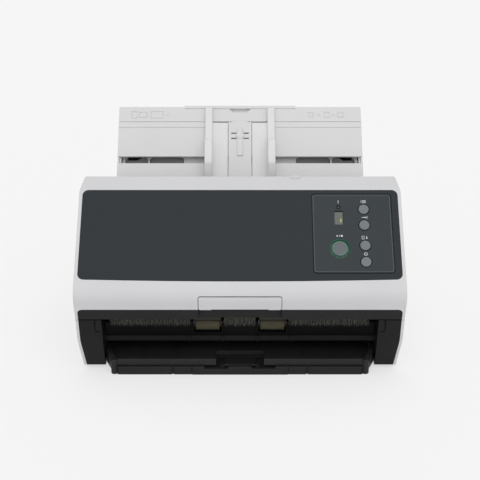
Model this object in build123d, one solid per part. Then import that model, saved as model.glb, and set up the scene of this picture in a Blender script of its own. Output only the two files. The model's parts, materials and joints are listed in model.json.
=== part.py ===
from build123d import *
import os
from math import acos, cos, hypot, pi, radians, sin, tan

# A desktop document scanner. X runs across it, Y from front to back and Z up, in millimetres.
# Side outlines are points (b, z): b is the distance behind the front nose and z the height.

# Driving dimensions
body_width = 300.0
body_depth = 170.0
body_bottom = 2.5
wall = 2.5
chute_angle = 49.0
chute_foot = (134.0, 148.4)
chute_half_width = 122.5
chute_length = 77.7
chute_thickness = 13.4
grip_depth = 11.3
nose_inset = 0.11

rear_reach = (
    chute_foot[0]
    + chute_length * cos(radians(chute_angle))
    + grip_depth * sin(radians(chute_angle))
)
nose_y = -(rear_reach + nose_inset) / 2

half_width = body_width / 2
inner_half = half_width - wall
cheek_inner = 126.6
hinge_axis = (112.0, 138.0)
hinge_pin_radius = 3.0
hinge_bay_half = 139.5
throat_half = 123.5
throat_front = 108.0
running = 0.05

# The upper unit's outline in side view: point, then the corner's radius
parting_front = (4.6, 57.0)
parting_rear = (112.6, 129.7)
upper_outline = [
    (*parting_front, 0),
    (-1.2, 84.1, 14),
    (75, 158, 16),
    (97, 163.3, 8),
    (124, 141, 9),
    (*parting_rear, 6),
]
parting_slope = (parting_rear[1] - parting_front[1]) / (parting_rear[0] - parting_front[0])
parting_gap = 0.8
lip_height = 68.7

# The base's outline in side view
base_outline = [
    (16, body_bottom, 3),
    (8.5, 30, 100),
    (4.8, parting_front[1] - parting_gap, 0),
    (112.6, parting_rear[1] - parting_gap, 0),
    (124.2, 137, 0),
    (124.2, 146.5, 3),
    (150, 139.5, 10),
    (body_depth, 121, 12),
    (body_depth, body_bottom, 5),
]
hinge_sweep_radius = 10.6

# The front panel's plane, from its lower edge upwards
panel_foot = (9.0, 94.0)
panel_top = (74.0, 157.0)
panel_half_width = 146.8
panel_length = 90.7
panel_thickness = 1.5

# The paper path's straight part, from the exit up to the pick rollers
path_foot = (24.0, 52.0)
path_top = (118.0, 130.0)
path_gap = 2.4
guide_wall = 2.5
guide_half = 126.0
scan_s = 44.5
glass_half = 116.0

# Rollers: place along the path, radius
exit_s, exit_radius = -3.0, 8.0
feed_s, feed_radius = 66.0, 9.0
pick_s, pick_radius = 98.0, 12.0
roller_centre_x = 30.0
roller_width = 22.3
shaft_radius = 3.0
shaft_half = 144.0
nip_gap = 0.3
roller_proud = 0.5

# Gears
gear_module = 1.0
pinion_teeth = 12
drive_teeth = 28
feed_teeth = 14
idler_teeth = 14
pick_teeth = 22
gear_backlash = 0.16
pressure_angle = radians(20)
train_x = (-138.0, -134.0)
drive_x = (-143.0, -139.0)

# Buttons on the operator plate: place across, place up the panel, radius
button_places = {
    "function_button": (114.5, 70.7, 4.8),
    "send_button": (114.5, 54.8, 4.8),
    "manual_feed_button": (114.5, 34.6, 4.8),
    "power_button": (114.5, 18.5, 4.8),
    "scan_button": (91.2, 31.6, 7.3),
}
button_travel = 0.8
switch_top = -7.0
ring_radius = 9.5
plate_x = (66.3, 140.6)
plate_s = (7.4, 86.8)
display_x = (87.2, 95.4)
display_s = (55.4, 69.4)
lamp_place = (91.2, 73.0)

# Side guides on the chute
guide_inner = 27.8
guide_outer = 34.9
guide_travel = 82.0
chute_gap = (14.6, 21.9)
rack_pinion_teeth = 16
rack_pinion_t = 18.25

# Stacker
tray_front_half = 120.4
tray_half = 126.0
bar_half = 112.8
end_bar_half = 44.6
bar_front = 2.8
bar_foot = 0.3


def unit(start, end):
    """The direction from one side-view point to another."""
    length = hypot(end[0] - start[0], end[1] - start[1])
    return (end[0] - start[0]) / length, (end[1] - start[1]) / length


panel_dir = unit(panel_foot, panel_top)
path_dir = unit(path_foot, path_top)
chute_dir = (cos(radians(chute_angle)), sin(radians(chute_angle)))


def slope_plane(foot, direction):
    """A plane whose X is across, whose Y runs up the slope and whose Z is the slope's normal."""
    return Plane(
        origin=(0, nose_y + foot[0], foot[1]),
        x_dir=(1, 0, 0),
        z_dir=(0, -direction[1], direction[0]),
    )


panel_plane = slope_plane(panel_foot, panel_dir)
path_plane = slope_plane(path_foot, path_dir)
chute_plane = slope_plane(chute_foot, chute_dir)


def path_point(s, n=0.0):
    """The side-view point at s along the paper path and n above it."""
    return (
        path_foot[0] + s * path_dir[0] - n * path_dir[1],
        path_foot[1] + s * path_dir[1] + n * path_dir[0],
    )


exit_axis = path_point(exit_s, roller_proud - exit_radius)
feed_axis = path_point(feed_s, roller_proud - feed_radius)
pick_axis = path_point(pick_s, roller_proud - pick_radius)
exit_idler_radius, feed_idler_radius, brake_radius = 5.0, 6.0, 11.0
exit_idler_axis = path_point(exit_s, roller_proud + nip_gap + exit_idler_radius)
feed_idler_axis = path_point(feed_s, roller_proud + nip_gap + feed_idler_radius)
brake_axis = path_point(pick_s, roller_proud + nip_gap + brake_radius)
train_length = hypot(pick_axis[0] - feed_axis[0], pick_axis[1] - feed_axis[1])
train_module = 2 * train_length / (feed_teeth + 2 * idler_teeth + pick_teeth)
idler_share = (feed_teeth + idler_teeth) * train_module / 2 / train_length
idler_gear_axis = (
    feed_axis[0] + idler_share * (pick_axis[0] - feed_axis[0]),
    feed_axis[1] + idler_share * (pick_axis[1] - feed_axis[1]),
)
motor_distance = gear_module * (pinion_teeth + drive_teeth) / 2
motor_direction = radians(-65.4)
motor_axis = (
    feed_axis[0] + motor_distance * cos(motor_direction),
    feed_axis[1] + motor_distance * sin(motor_direction),
)


def parting_height(b):
    """The height of the upper unit's lower edge at b."""
    return parting_front[1] + (b - parting_front[0]) * parting_slope


def rounded(points):
    """A face from (u, v, radius) corners."""
    face = make_face(Polyline(*[(u, v) for u, v, _ in points], close=True))
    for radius in sorted({r for _, _, r in points if r}):
        places = [(u, v) for u, v, r in points if r == radius]
        corners = [
            c for c in face.vertices() if any(hypot(c.X - u, c.Y - v) < 1e-3 for u, v in places)
        ]
        face = fillet(corners, radius)
    return face


def sharp(points):
    """A face from (u, v) corners."""
    return rounded([(u, v, 0) for u, v in points])


def side_slab(face, x_low, x_high):
    """A side-view face made solid between two places across the scanner."""
    plane = Plane(origin=(x_low, nose_y, 0), x_dir=(0, 1, 0), z_dir=(1, 0, 0))
    return extrude(plane * face, amount=x_high - x_low)


def front_slab(face, b_low, b_high):
    """A front-view face of (x, z) points made solid between two depths."""
    plane = Plane(origin=(0, nose_y + b_high, 0), x_dir=(1, 0, 0), z_dir=(0, -1, 0))
    return extrude(plane * face, amount=b_high - b_low)


def block(x_low, x_high, b_low, b_high, z_low, z_high):
    """A plain block in the scanner's own directions."""
    centre = ((x_low + x_high) / 2, nose_y + (b_low + b_high) / 2, (z_low + z_high) / 2)
    return Pos(*centre) * Box(x_high - x_low, b_high - b_low, z_high - z_low)


def plane_block(plane, x_low, x_high, s_low, s_high, n_low, n_high):
    """A plain block on one of the sloping planes."""
    centre = ((x_low + x_high) / 2, (s_low + s_high) / 2, (n_low + n_high) / 2)
    return plane * Pos(*centre) * Box(x_high - x_low, s_high - s_low, n_high - n_low)


def plane_disc(plane, x, s, radius, n_low, n_high):
    """A cylinder that stands on one of the sloping planes."""
    return plane * Pos(x, s, (n_low + n_high) / 2) * Cylinder(radius, n_high - n_low)


def cross_rod(axis, radius, x_low, x_high):
    """A cylinder across the scanner at a side-view point."""
    place = Location((((x_low + x_high) / 2), nose_y + axis[0], axis[1]), (0, 90, 0))
    return place * Cylinder(radius, x_high - x_low)


def both_sides(shape):
    """A shape and its mirror image across the scanner's middle."""
    return shape + mirror(shape, about=Plane.YZ)


def plane_plate(plane, face, n_low, n_high):
    """A face drawn on a sloping plane, made solid between two heights."""
    return extrude(plane * Pos(0, 0, n_low) * face, amount=n_high - n_low)


def body_section(inset):
    """The whole body's front-view outline, inset by a wall, made solid from front to back."""
    half = half_width - inset
    foot_half = half_width - 3.5 - inset
    bottom = body_bottom - 1
    outline = [
        (-foot_half, bottom, 0),
        (foot_half, bottom, 0),
        (half, 34, 60),
        (half, 163.9 - inset, max(9 - inset, 1)),
        (-half, 163.9 - inset, max(9 - inset, 1)),
        (-half, 34, 60),
    ]
    return front_slab(rounded(outline), -10, 200)


# The upper unit


def panel_outline(grow):
    """The front panel's outline on its plane: its lower edge bows down in the middle."""
    half, low, high = panel_half_width + grow, -grow, panel_length + grow
    bow = 1.9
    edges = [
        ThreePointArc((-half, low + bow), (0, low), (half, low + bow)),
        Line((half, low + bow), (half, high)),
        Line((half, high), (-half, high)),
        Line((-half, high), (-half, low + bow)),
    ]
    face = make_face(edges)
    return fillet(face.vertices(), 5.5 + grow)


def plate_outline(inset, radius):
    """The operator plate's outline on the panel's plane."""
    x_low, x_high = plate_x[0] + inset, plate_x[1] - inset
    s_low, s_high = plate_s[0] + inset, plate_s[1] - inset
    corners = [(x_low, s_low), (x_high, s_low), (x_high, s_high), (x_low, s_high)]
    return rounded([(x, s, radius) for x, s in corners])


lever_half = 37.5
lever_foot = 68.4
lever_top = 82.0
lever_corner = 1.6
lever_pivot = (2.9, 79.9)
lever_pin_radius = 1.2
lip_corner = 4.4
pocket_half = lever_half + 0.6


def outer_upper():
    """The upper unit's outer form."""
    return side_slab(rounded(upper_outline), -half_width, half_width) & body_section(0)


def under_lip(inset):
    """The space under the white lip, as seen from the front, with its round top corners."""
    half, top = inner_half - inset, lip_height - inset
    outline = [(-half, 40, 0), (half, 40, 0), (half, top, lip_corner), (-half, top, lip_corner)]
    return front_slab(rounded(outline), -6, 8)


def adf_cover():
    """The white shell of the upper unit, open below, with a pocket for the front panel."""
    inner_face = offset(rounded(upper_outline), amount=-wall)
    inner = side_slab(inner_face, -inner_half, inner_half) & body_section(wall)
    shell = outer_upper() - inner
    opening = sharp([(7.6, 45), (7.6, lip_height), (12, lip_height), (110, 134), (117, 131), (112, 110)])
    shell -= side_slab(opening, -inner_half, inner_half)
    shell -= under_lip(0)
    shell -= block(-throat_half, throat_half, throat_front, 140, 100, 170)
    shell -= block(-hinge_bay_half, hinge_bay_half, 104, 140, 100, 143.2)
    shell -= plane_plate(panel_plane, panel_outline(0.15), -panel_thickness - 0.1, 8)
    shell -= plane_plate(panel_plane, plate_outline(3, 3), -8, 1)
    side, top, corner = lever_half + 0.5, lever_top + 1.0, lever_corner + 0.5
    lever_gap = [(-side, 60, 0), (side, 60, 0), (side, top, corner), (-side, top, corner)]
    shell -= front_slab(rounded(lever_gap), -5, 6)
    bearing = block(lever_half + 0.5, lever_half + 5, 2.2, 7.2, 75.5, 84.5)
    bearing &= side_slab(rounded(upper_outline), 0, half_width)
    bearing -= cross_rod(lever_pivot, lever_pin_radius + running, lever_half, lever_half + 3.2)
    shell -= cross_rod(lever_pivot, lever_pin_radius + running, lever_half, lever_half + 3.2)
    shell -= cross_rod(lever_pivot, lever_pin_radius + running, -lever_half - 3.2, -lever_half)
    shell += both_sides(bearing)
    for x in (63.0, 142.8):
        for s in (18.0, 76.0):
            shell += plane_disc(panel_plane, x, s, 2.2, -8, -wall + 0.3)
    return shell + block(48.5, 57, 91.5, 98.5, 158, 162.9)


def front_panel():
    """The dark glossy panel, with a window for the operator plate."""
    panel = plane_plate(panel_plane, panel_outline(0), -panel_thickness, 0)
    return panel - plane_plate(panel_plane, plate_outline(0, 3), -4, 4)


def operator_plate():
    """The raised plate that the buttons stand in."""
    seat = -panel_thickness - 0.1
    plate = plane_plate(panel_plane, plate_outline(0.1, 2.9), seat, seat + 0.5)
    plate += plane_plate(panel_plane, plate_outline(0.9, 2.3), seat, 0.35)
    for name, (x, s, radius) in button_places.items():
        hole = ring_radius + 0.15 if name == "scan_button" else radius + 0.7
        plate -= plane_disc(panel_plane, x, s, hole, -5, 5)
    plate -= plane_block(panel_plane, *display_x, *display_s, -5, 5)
    plate -= plane_disc(panel_plane, *lamp_place, 1.35, -5, 5)
    return plate


def button(name):
    """A round key cap with a softened edge, on its stem."""
    x, s, radius = button_places[name]
    cap = plane_disc(panel_plane, x, s, radius, -2.2, 1.3)
    cap = chamfer(cap.edges().filter_by(GeomType.CIRCLE).sort_by(Axis.Z)[-1:], 0.5)
    stem = plane_disc(panel_plane, x, s, 1.8, switch_top + button_travel + 0.2, -2.2)
    return cap + stem


def scan_button_ring():
    """The coloured ring around the scan button."""
    x, s, radius = button_places["scan_button"]
    ring = plane_disc(panel_plane, x, s, ring_radius, -panel_thickness - 0.1, 0.8)
    return ring - plane_disc(panel_plane, x, s, radius + 0.25, -5, 5)


def display_window():
    """The clear window over the one-digit display, with the display block behind it."""
    x_low, x_high = display_x
    s_low, s_high = display_s
    return plane_block(
        panel_plane, x_low + 0.1, x_high - 0.1, s_low + 0.1, s_high - 0.1, -8.0, 0.2
    )


def check_lamp():
    """The small round status lamp on its leg."""
    lamp = plane_disc(panel_plane, *lamp_place, 1.25, -8.0, 0.6)
    return chamfer(lamp.edges().filter_by(GeomType.CIRCLE).sort_by(Axis.Z)[-1:], 0.4)


def operator_board():
    """The circuit board behind the operator plate, with a switch under each button."""
    board = plane_block(panel_plane, 60, 146, 9, 85, -9.6, -8)
    for x, s, _ in button_places.values():
        board += plane_block(panel_plane, x - 3, x + 3, s - 3, s + 3, -8, switch_top)
    return board


def cover_lever():
    """The pull at the middle of the cover's lower edge, on two short pins."""
    outline = [
        (-lever_half, lever_foot, lever_corner),
        (-26, lever_foot, 0),
        (-26, lever_foot + 0.6, 0),
        (26, lever_foot + 0.6, 0),
        (26, lever_foot, 0),
        (lever_half, lever_foot, lever_corner),
        (lever_half, lever_top, lever_corner),
        (-lever_half, lever_top, lever_corner),
    ]
    front = side_slab(rounded(upper_outline), -lever_half, lever_half)
    front -= side_slab(offset(rounded(upper_outline), amount=-2.6), -half_width, half_width)
    plate = front & front_slab(rounded(outline), -3, 8)
    grip = block(-lever_half, lever_half, 3.6, 8.2, lever_foot, lever_foot + 2.0)
    grip &= front_slab(rounded(outline), 3, 9)
    barrel = cross_rod(lever_pivot, 2.0, -lever_half, lever_half)
    pins = cross_rod(lever_pivot, lever_pin_radius, -lever_half - 3, lever_half + 3)
    return plate + barrel + grip + pins


def upper_front_bezel():
    """The dark band under the white cover's lip, with a closed pocket behind the lever."""
    top = lip_height - 0.2
    band = sharp([(3.0, top), (4.6, 57.6), (14, 57.0), (14, 59.6), (7.4, 60.0), (6.0, top)])
    bezel = side_slab(band, -inner_half, inner_half) & body_section(wall)
    bezel &= under_lip(0.2) + block(-inner_half, inner_half, 7.5, 16, 50, 62)
    low = [(-5, parting_height(-5)), (40, parting_height(40)), (40, 20), (-5, 20)]
    bezel -= side_slab(sharp(low), guide_half - 0.5, half_width)
    bezel -= side_slab(sharp(low), -half_width, 0.5 - guide_half)
    for x in (-roller_centre_x, roller_centre_x):
        bezel -= block(x - 14, x + 14, 11.5, 20, 50, 61)
    opening = block(-pocket_half, pocket_half, -5, 9.2, 50, 75)
    pocket = block(-pocket_half - 1.4, pocket_half + 1.4, 5, 10.6, 57.4, top)
    return bezel - opening + (pocket - opening)


def roller_windows(half_span, s, reach, n_low, n_high):
    """Blocks that open both roller places in a guide."""
    windows = Part()
    for x in (-roller_centre_x, roller_centre_x):
        windows += plane_block(path_plane, x - half_span, x + half_span, s - reach, s + reach, n_low, n_high)
    return windows


def axle_ears(axis, radius, x_inner, x_outer, foot_s, foot_half):
    """A pair of ears on each side that carry an axle in the upper guide."""
    foot_low = path_point(foot_s - foot_half, path_gap + 1)
    foot_high = path_point(foot_s + foot_half, path_gap + 1)
    top = (axis[0] - path_dir[1] * (radius + 3), axis[1] + path_dir[0] * (radius + 3))
    face = rounded([(*foot_low, 0), (*foot_high, 0), (*top, 2.0)])
    ear = side_slab(face, x_inner, x_outer) - cross_rod(axis, radius + running, x_inner - 1, x_outer + 1)
    return both_sides(ear)


def guide_sides(half):
    """The upper guide's side walls, the flanges that carry it and its hinge ears."""
    cheek_face = sharp(
        [
            path_point(1.5, path_gap + 1),
            path_point(97, path_gap + 1),
            (103.6, 122.6),
            (103.6, 128),
            (98, parting_height(98) + 2.4),
            (22, parting_height(22) + 2.4),
        ]
    )
    flange = sharp(
        [
            (14, parting_height(14) + 0.3),
            (98, parting_height(98) + 0.3),
            (98, parting_height(98) + 2.4),
            (14, parting_height(14) + 2.4),
        ]
    )
    ear_face = rounded(
        [
            (72, parting_height(72) + 1, 0),
            (98, parting_height(98) + 1, 0),
            (106, 128.6, 3),
            (112, 133.0, 0),
            (112, 143.0, 0),
            (104, 141.6, 5),
        ]
    )
    ear = side_slab(ear_face, 134, 138) + cross_rod(hinge_axis, 5.0, 134, 138)
    ear -= cross_rod(hinge_axis, hinge_pin_radius + running, 130, 142)
    cheek = side_slab(cheek_face, half - 2, half)
    return both_sides(cheek + side_slab(flange, half - 2, inner_half) + ear)


def upper_guide_frame():
    """The upper paper guide: a trough with side flanges, hinge ears and axle ears."""
    half = guide_half - 0.6
    lower = [(14.2, 57.0), path_point(0.5, path_gap), path_point(97, path_gap)]
    rear = [(103.6, 122.5), (107.0, 149.5)]
    inner = [(104.4, 149.5), (101.0, 123.2), path_point(96, path_gap + guide_wall)]
    inner += [path_point(1.5, path_gap + guide_wall), (14.2, 59.6)]
    trough = side_slab(sharp(lower + rear + inner), -half, half) + guide_sides(half)
    trough -= roller_windows(13.4, pick_s, 13.2, -5, 20)
    trough -= roller_windows(9.4, feed_s, 7.4, -5, 9)
    for x in (-roller_centre_x, roller_centre_x):
        trough -= block(x - 13.9, x + 13.9, 10, 24.6, 48, 62)
    trough -= scan_slot(0, 8)
    trough -= cross_rod(feed_idler_axis, 2.6, -46.5, 46.5)
    trough -= cross_rod(exit_idler_axis, 2.4, -49.5, 49.5)
    trough += axle_ears(brake_axis, 3.0, 46, 49, pick_s - 4, 9)
    trough += axle_ears(feed_idler_axis, 2.0, 41, 44, feed_s, 6)
    trough += axle_ears(exit_idler_axis, 1.8, 44.5, 47, 3.2, 4.5)
    return trough


def scan_slot(n_low, n_high):
    """The slot in a guide for its scan window."""
    half = glass_half + 0.2
    return plane_block(path_plane, -half, half, scan_s - 6.7, scan_s + 6.7, n_low, n_high)


def glass(n_low, n_high):
    """A scan window strip, flush in its guide."""
    return plane_block(path_plane, -glass_half, glass_half, scan_s - 6.5, scan_s + 6.5, n_low, n_high)


def sensor_bar(n_low, n_high):
    """A contact image sensor's long housing."""
    half = glass_half + 2.5
    bar = plane_block(path_plane, -half, half, scan_s - 9, scan_s + 9, n_low, n_high)
    return chamfer(bar.edges().filter_by(Axis.X), 1.2)


def roller_pair(axis, radius, core):
    """Two rubber rollers with hubs, bored for their shaft."""
    rollers = Part()
    for x in (-roller_centre_x, roller_centre_x):
        tyre = cross_rod(axis, radius, x - roller_width / 2, x + roller_width / 2)
        tyre = chamfer(tyre.edges().filter_by(GeomType.CIRCLE), 0.6)
        hub = cross_rod(axis, core + 2.2, x - roller_width / 2 - 1.4, x + roller_width / 2 + 1.4)
        rollers += tyre + hub - cross_rod(axis, core, x - 20, x + 20)
    return rollers


def idler_set(axis, radius, width, core, half_length):
    """Two small idler rollers on their axle, as one turning piece."""
    idlers = cross_rod(axis, core, -half_length, half_length)
    for x in (-roller_centre_x, roller_centre_x):
        wheel = cross_rod(axis, radius, x - width / 2, x + width / 2)
        idlers += chamfer(wheel.edges().filter_by(GeomType.CIRCLE), 0.5)
    return idlers


# The base


def side_cover():
    """The right side cover: a shell with a deep rim along the top and the rear."""
    face = rounded(base_outline)
    outer = side_slab(face, 128.4, half_width) & body_section(0)
    inner_face = offset(face, amount=-wall)
    inner = side_slab(inner_face, 128.4, inner_half) & body_section(wall)
    cover = outer - inner
    cover -= cross_rod(hinge_axis, hinge_sweep_radius, 120, 160)
    open_front = block(120, inner_half, -5, 30.2, -5, 80)
    open_bottom = block(120, inner_half, 20, 168, -5, 6)
    open_hinge = block(120, inner_half, 97, 124.2 - 0.1, 100, 170)
    open_rear = block(120, inner_half, 160, 180, -5, 116)
    for gap in (open_front, open_bottom, open_hinge, open_rear):
        cover -= gap & body_section(wall)
    cover -= cross_rod(feed_axis, 15.5, 138.4, 143.6)
    inner_face = sharp([(126, 100), (126, 143.6), (149, 137.2), (162, 125), (162, 100)])
    return cover + side_slab(inner_face, 128.4, 130.4)


ledge_ribs = (16.3, 47.8)


def front_bezel():
    """The dark lower front: two cheeks beside the recess, joined by the ledge under the exit."""
    front = rounded(base_outline)
    cheek = side_slab(front, cheek_inner, inner_half) & block(cheek_inner, inner_half, -5, 30, 0, 80)
    hollow = side_slab(offset(front, amount=-wall), cheek_inner + wall, inner_half - wall)
    hollow += block(cheek_inner + wall, inner_half - wall, 27, 31, 5, 65)
    cheek = (cheek & body_section(wall)) - (hollow & body_section(2 * wall))
    cheek -= block(cheek_inner - 1, cheek_inner + wall + 1, 21.5, 31, 38, 62)
    cheek -= block(131.7, 133.3, 0, 7.0, 43.3, 58)
    cheek -= block(128.9, 133.3, 0, 7.4, 43.3, 44.9)
    ledge = block(-cheek_inner, cheek_inner, 24, 28, 24.7, 30.1)
    for x in ledge_ribs:
        ledge += both_sides(block(x - 0.9, x + 0.9, 22.6, 24.2, 24.7, 30.1))
    return both_sides(cheek) + ledge


def lower_guide():
    """The lower paper guide, from the exit lip up to the chute, with its side walls."""
    lip = (19.0, 47.6)
    top_line = [lip, path_point(0), path_point(121.8)]
    meet = (chute_foot[0] - 3.6 * chute_dir[0], chute_foot[1] - 3.6 * chute_dir[1])
    rear_under = (meet[0] + guide_wall * chute_dir[1], meet[1] - guide_wall * chute_dir[0])
    under = [rear_under, path_point(120.8, -guide_wall), path_point(1.0, -guide_wall), (22.0, 46.4)]
    front = [(27.4, 31.4), (27.4, 30.2), (24.6, 30.2)]
    guide = side_slab(sharp(top_line + [meet] + under + front), -guide_half, guide_half)
    wall_face = sharp(
        [
            path_point(7.3, -1),
            path_point(112, -1),
            (112, parting_height(112) - parting_gap),
            (30.4, parting_height(30.4) - parting_gap),
        ]
    )
    side = side_slab(wall_face, guide_half - 0.2, 128.2)
    side -= cross_rod(hinge_axis, hinge_sweep_radius, 120, 140)
    guide += both_sides(side)
    guide -= roller_windows(12.9, pick_s, 12.6, -6, 4)
    guide -= roller_windows(12.9, feed_s, 9.6, -6, 4)
    for x in (-roller_centre_x, roller_centre_x):
        guide -= block(x - 12.9, x + 12.9, 10, 35.5, 33.5, 64)
    guide -= scan_slot(-8, 4)
    for k in range(-7, 8):
        x = 14.6 * k
        if abs(abs(x) - roller_centre_x) > 15:
            guide += plane_block(path_plane, x - 0.7, x + 0.7, 2, 34, -0.5, 0.6)
    return guide + exit_ribs()


def exit_ribs():
    """The ribs, teeth and end blocks on the lower guide's front face, under the exit."""
    rib = sharp([(23.2, 30.4), (25.2, 30.4), (19.6, 47.2), (17.9, 47.2)])
    tooth = sharp([(19.9, 42.4), (21.0, 42.4), (19.6, 47.2), (18.1, 47.2)])
    ribs = side_slab(tooth, 109, 124.5)
    for x in ledge_ribs:
        ribs += side_slab(rib, x - 0.7, x + 0.7)
    for k in range(14):
        x = 7.6 * k + 3.8
        if abs(x - roller_centre_x) > 15:
            ribs += side_slab(tooth, x - 0.6, x + 0.6)
    return both_sides(ribs)


def side_frames():
    """The two steel side plates that hold the shafts and the hinge pins, and the idler's stud."""
    low = 4.0
    face = rounded(
        [
            (30.4, low, 0),
            (30.4, 32, 0),
            (19, 36, 0),
            (19, 50, 4),
            (34, 64, 0),
            (98, 108, 0),
            (106.5, 128, 0),
            (107.4, 138, 0),
            (116.6, 138, 0),
            (117.4, 128, 0),
            (124, 112, 4),
            (124, low, 0),
        ]
    )
    frame = side_slab(face, 131.0, 132.5) + cross_rod(hinge_axis, 4.6, 131.0, 132.5)
    frame += block(131.0, 138, 40, 120, low, low + 1.5)
    frame -= cross_rod(hinge_axis, hinge_pin_radius, 120, 140)
    for axis in (exit_axis, feed_axis, pick_axis):
        frame -= cross_rod(axis, 5.0, 120, 140)
    window = sharp([(44, 24), (44, 42), (66, 58), (66, 24)])
    frame -= side_slab(window, 120, 140) + side_slab(Pos(34, 0) * window, 120, 140)
    frames = both_sides(frame)
    frames -= cross_rod(motor_axis, 8.0, -140, -120)
    return frames + cross_rod(idler_gear_axis, 2.5, -138.6, -131.0)


def shaft_bushings():
    """Flanged bushings for the three shafts."""
    bushings = Part()
    for axis in (exit_axis, feed_axis, pick_axis):
        bush = cross_rod(axis, 5.0, 130.6, 132.5) + cross_rod(axis, 6.2, 129.5, 131.0)
        bushings += bush - cross_rod(axis, shaft_radius + running, 120, 140)
    return both_sides(bushings)


def hinge_pins():
    """The upper unit's two hinge pins, pressed into the side frames."""
    pin = cross_rod(hinge_axis, hinge_pin_radius, 131.0, 139.5)
    head = cross_rod(hinge_axis, hinge_pin_radius + 1.6, 129.4, 131.0)
    return both_sides(pin + head)


def base_pan():
    """The floor of the scanner, with the stacker bay's walls and hold-down rails."""
    pan = block(-143.6, 143.6, 30.3, 167.4, body_bottom, 4.0) & body_section(wall)
    bay_wall = block(cheek_inner + 0.1, 128.8, 30.2, 160, 4.0, 23.0)
    rail = block(121.0, cheek_inner + 0.2, 42, 150, 17.0, 19.0)
    pan += both_sides(bay_wall + rail)
    pan += block(-128.8, 128.8, 160, 162, 4.0, 23.0)
    for b in (60, 90, 120):
        pan += both_sides(block(138.6, 142.8, b, b + 1.6, 4.0, 6.4))
    return pan


def bay_deck():
    """The steel deck over the stacker bay, which carries the electronics."""
    deck = block(-130.9, 130.9, 30.4, 162, 23.0, 24.2)
    return deck + block(-118, 58, 158.6, 159.8, 24.2, 34)


def rear_cover():
    """The white rear cover: a wall with vents and sockets, and the slope under the chute."""
    wide = block(-inner_half, inner_half, body_depth - wall, body_depth, body_bottom, 112)
    wide &= body_section(wall)
    strip = sharp(
        [
            (body_depth, 111),
            (body_depth, 119.5),
            (151.2, 136.6),
            (143.6, 136.6),
            (143.6, 134.1),
            (150.2, 134.1),
            (body_depth - wall, 118.4),
            (body_depth - wall, 111),
        ]
    )
    cover = wide + side_slab(strip, -128.2, 128.2)
    for x in (-86, 86):
        cover -= block(x - 8.2, x + 8.2, 143.6 - 0.2, 149.2, 130, 140)
    for row in range(4):
        for k in range(-4, 5):
            cover -= block(k * 19 - 7.5, k * 19 + 7.5, 160, 175, 84 + row * 7, 87 + row * 7)
    cover -= block(-96, -84, 160, 175, 44, 55)
    cover -= block(-72, -56, 160, 175, 44, 57.6)
    cover -= cross_y(-112, 49.5, 5.6, 160, 175)
    cover -= block(121, 128, 160, 175, 20, 23)
    return cover


def cross_y(x, z, radius, b_low, b_high):
    """A cylinder that runs from front to back."""
    place = Location((x, nose_y + (b_low + b_high) / 2, z), (90, 0, 0))
    return place * Cylinder(radius, b_high - b_low)


def main_board():
    """The main circuit board, upright behind the mechanism, with its largest chips."""
    board = block(-124, 60, 157.0, 158.6, 26, 78)
    for x, z, size in ((-30, 52, 24), (8, 50, 14), (34, 60, 12), (-6, 36, 10)):
        board += block(x - size / 2, x + size / 2, 154.6, 157.0, z - size / 2, z + size / 2)
    return board


def connectors():
    """The computer, network and power sockets, open to the rear."""
    usb = block(-95.8, -84.2, 158.6, 169.4, 44.2, 54.8) - block(-94.4, -85.6, 161, 172, 45.6, 53.4)
    lan = block(-71.8, -56.2, 158.6, 169.4, 44.2, 57.4) - block(-70.3, -57.7, 160.5, 172, 46, 54.6)
    power = cross_y(-112, 49.5, 5.4, 158.6, 169.4) - cross_y(-112, 49.5, 3.2, 161, 172)
    return usb + lan + power


def motor():
    """The drive motor's can, flanged on the left side frame."""
    can = cross_rod(motor_axis, 15, -129.4, -107)
    can = chamfer(can.edges().filter_by(GeomType.CIRCLE).sort_by(Axis.X)[-1:], 1.5)
    flange = cross_rod(motor_axis, 13.4, -131.0, -129.4)
    boss = cross_rod(motor_axis, 5.5, -133.4, -131.0)
    return can + flange + boss - cross_rod(motor_axis, 1.5 + running, -140, -110)


def involute(angle):
    """The involute function."""
    return tan(angle) - angle


def gear_face(teeth, module, turn=0.0):
    """A spur gear's outline with involute flanks."""
    pitch_radius = teeth * module / 2
    base_radius = pitch_radius * cos(pressure_angle)
    tip_radius = pitch_radius + 0.9 * module
    root_radius = pitch_radius - 1.15 * module
    half_tooth = pi / (2 * teeth) - gear_backlash / (2 * pitch_radius)
    flank = []
    start = max(base_radius, root_radius)
    for k in range(3):
        radius = start + (tip_radius - start) * k / 2
        roll = acos(min(1.0, base_radius / radius))
        flank.append((radius, half_tooth + involute(pressure_angle) - involute(roll)))
    if root_radius < start:
        flank.insert(0, (root_radius, flank[0][1]))
    points = []
    for tooth in range(teeth):
        middle = turn + 2 * pi * tooth / teeth
        rising = [(r * cos(middle - a), r * sin(middle - a)) for r, a in flank]
        falling = [(r * cos(middle + a), r * sin(middle + a)) for r, a in reversed(flank)]
        points += rising + falling
    return make_face(Polyline(*points, close=True))


def side_gear(axis, teeth, module, x_low, x_high, bore, turn=0.0):
    """A gear across the scanner. Its outline is drawn in the side view."""
    face = Pos(axis[0], axis[1]) * gear_face(teeth, module, turn)
    return side_slab(face, x_low, x_high) - cross_rod(axis, bore, x_low - 1, x_high + 1)


def line_angle(start, end):
    """The side-view angle of the line between two axes, in radians."""
    direction = unit(start, end)
    angle = acos(direction[0])
    return angle if direction[1] >= 0 else -angle


train_line = line_angle(feed_axis, pick_axis)
drive_line = line_angle(feed_axis, motor_axis)


def feed_gears():
    """The large drive gear and the small train gear on the feed shaft."""
    drive = side_gear(feed_axis, drive_teeth, gear_module, *drive_x, shaft_radius, drive_line)
    small = side_gear(feed_axis, feed_teeth, train_module, drive_x[1], train_x[1], shaft_radius, train_line)
    return drive + small


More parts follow.
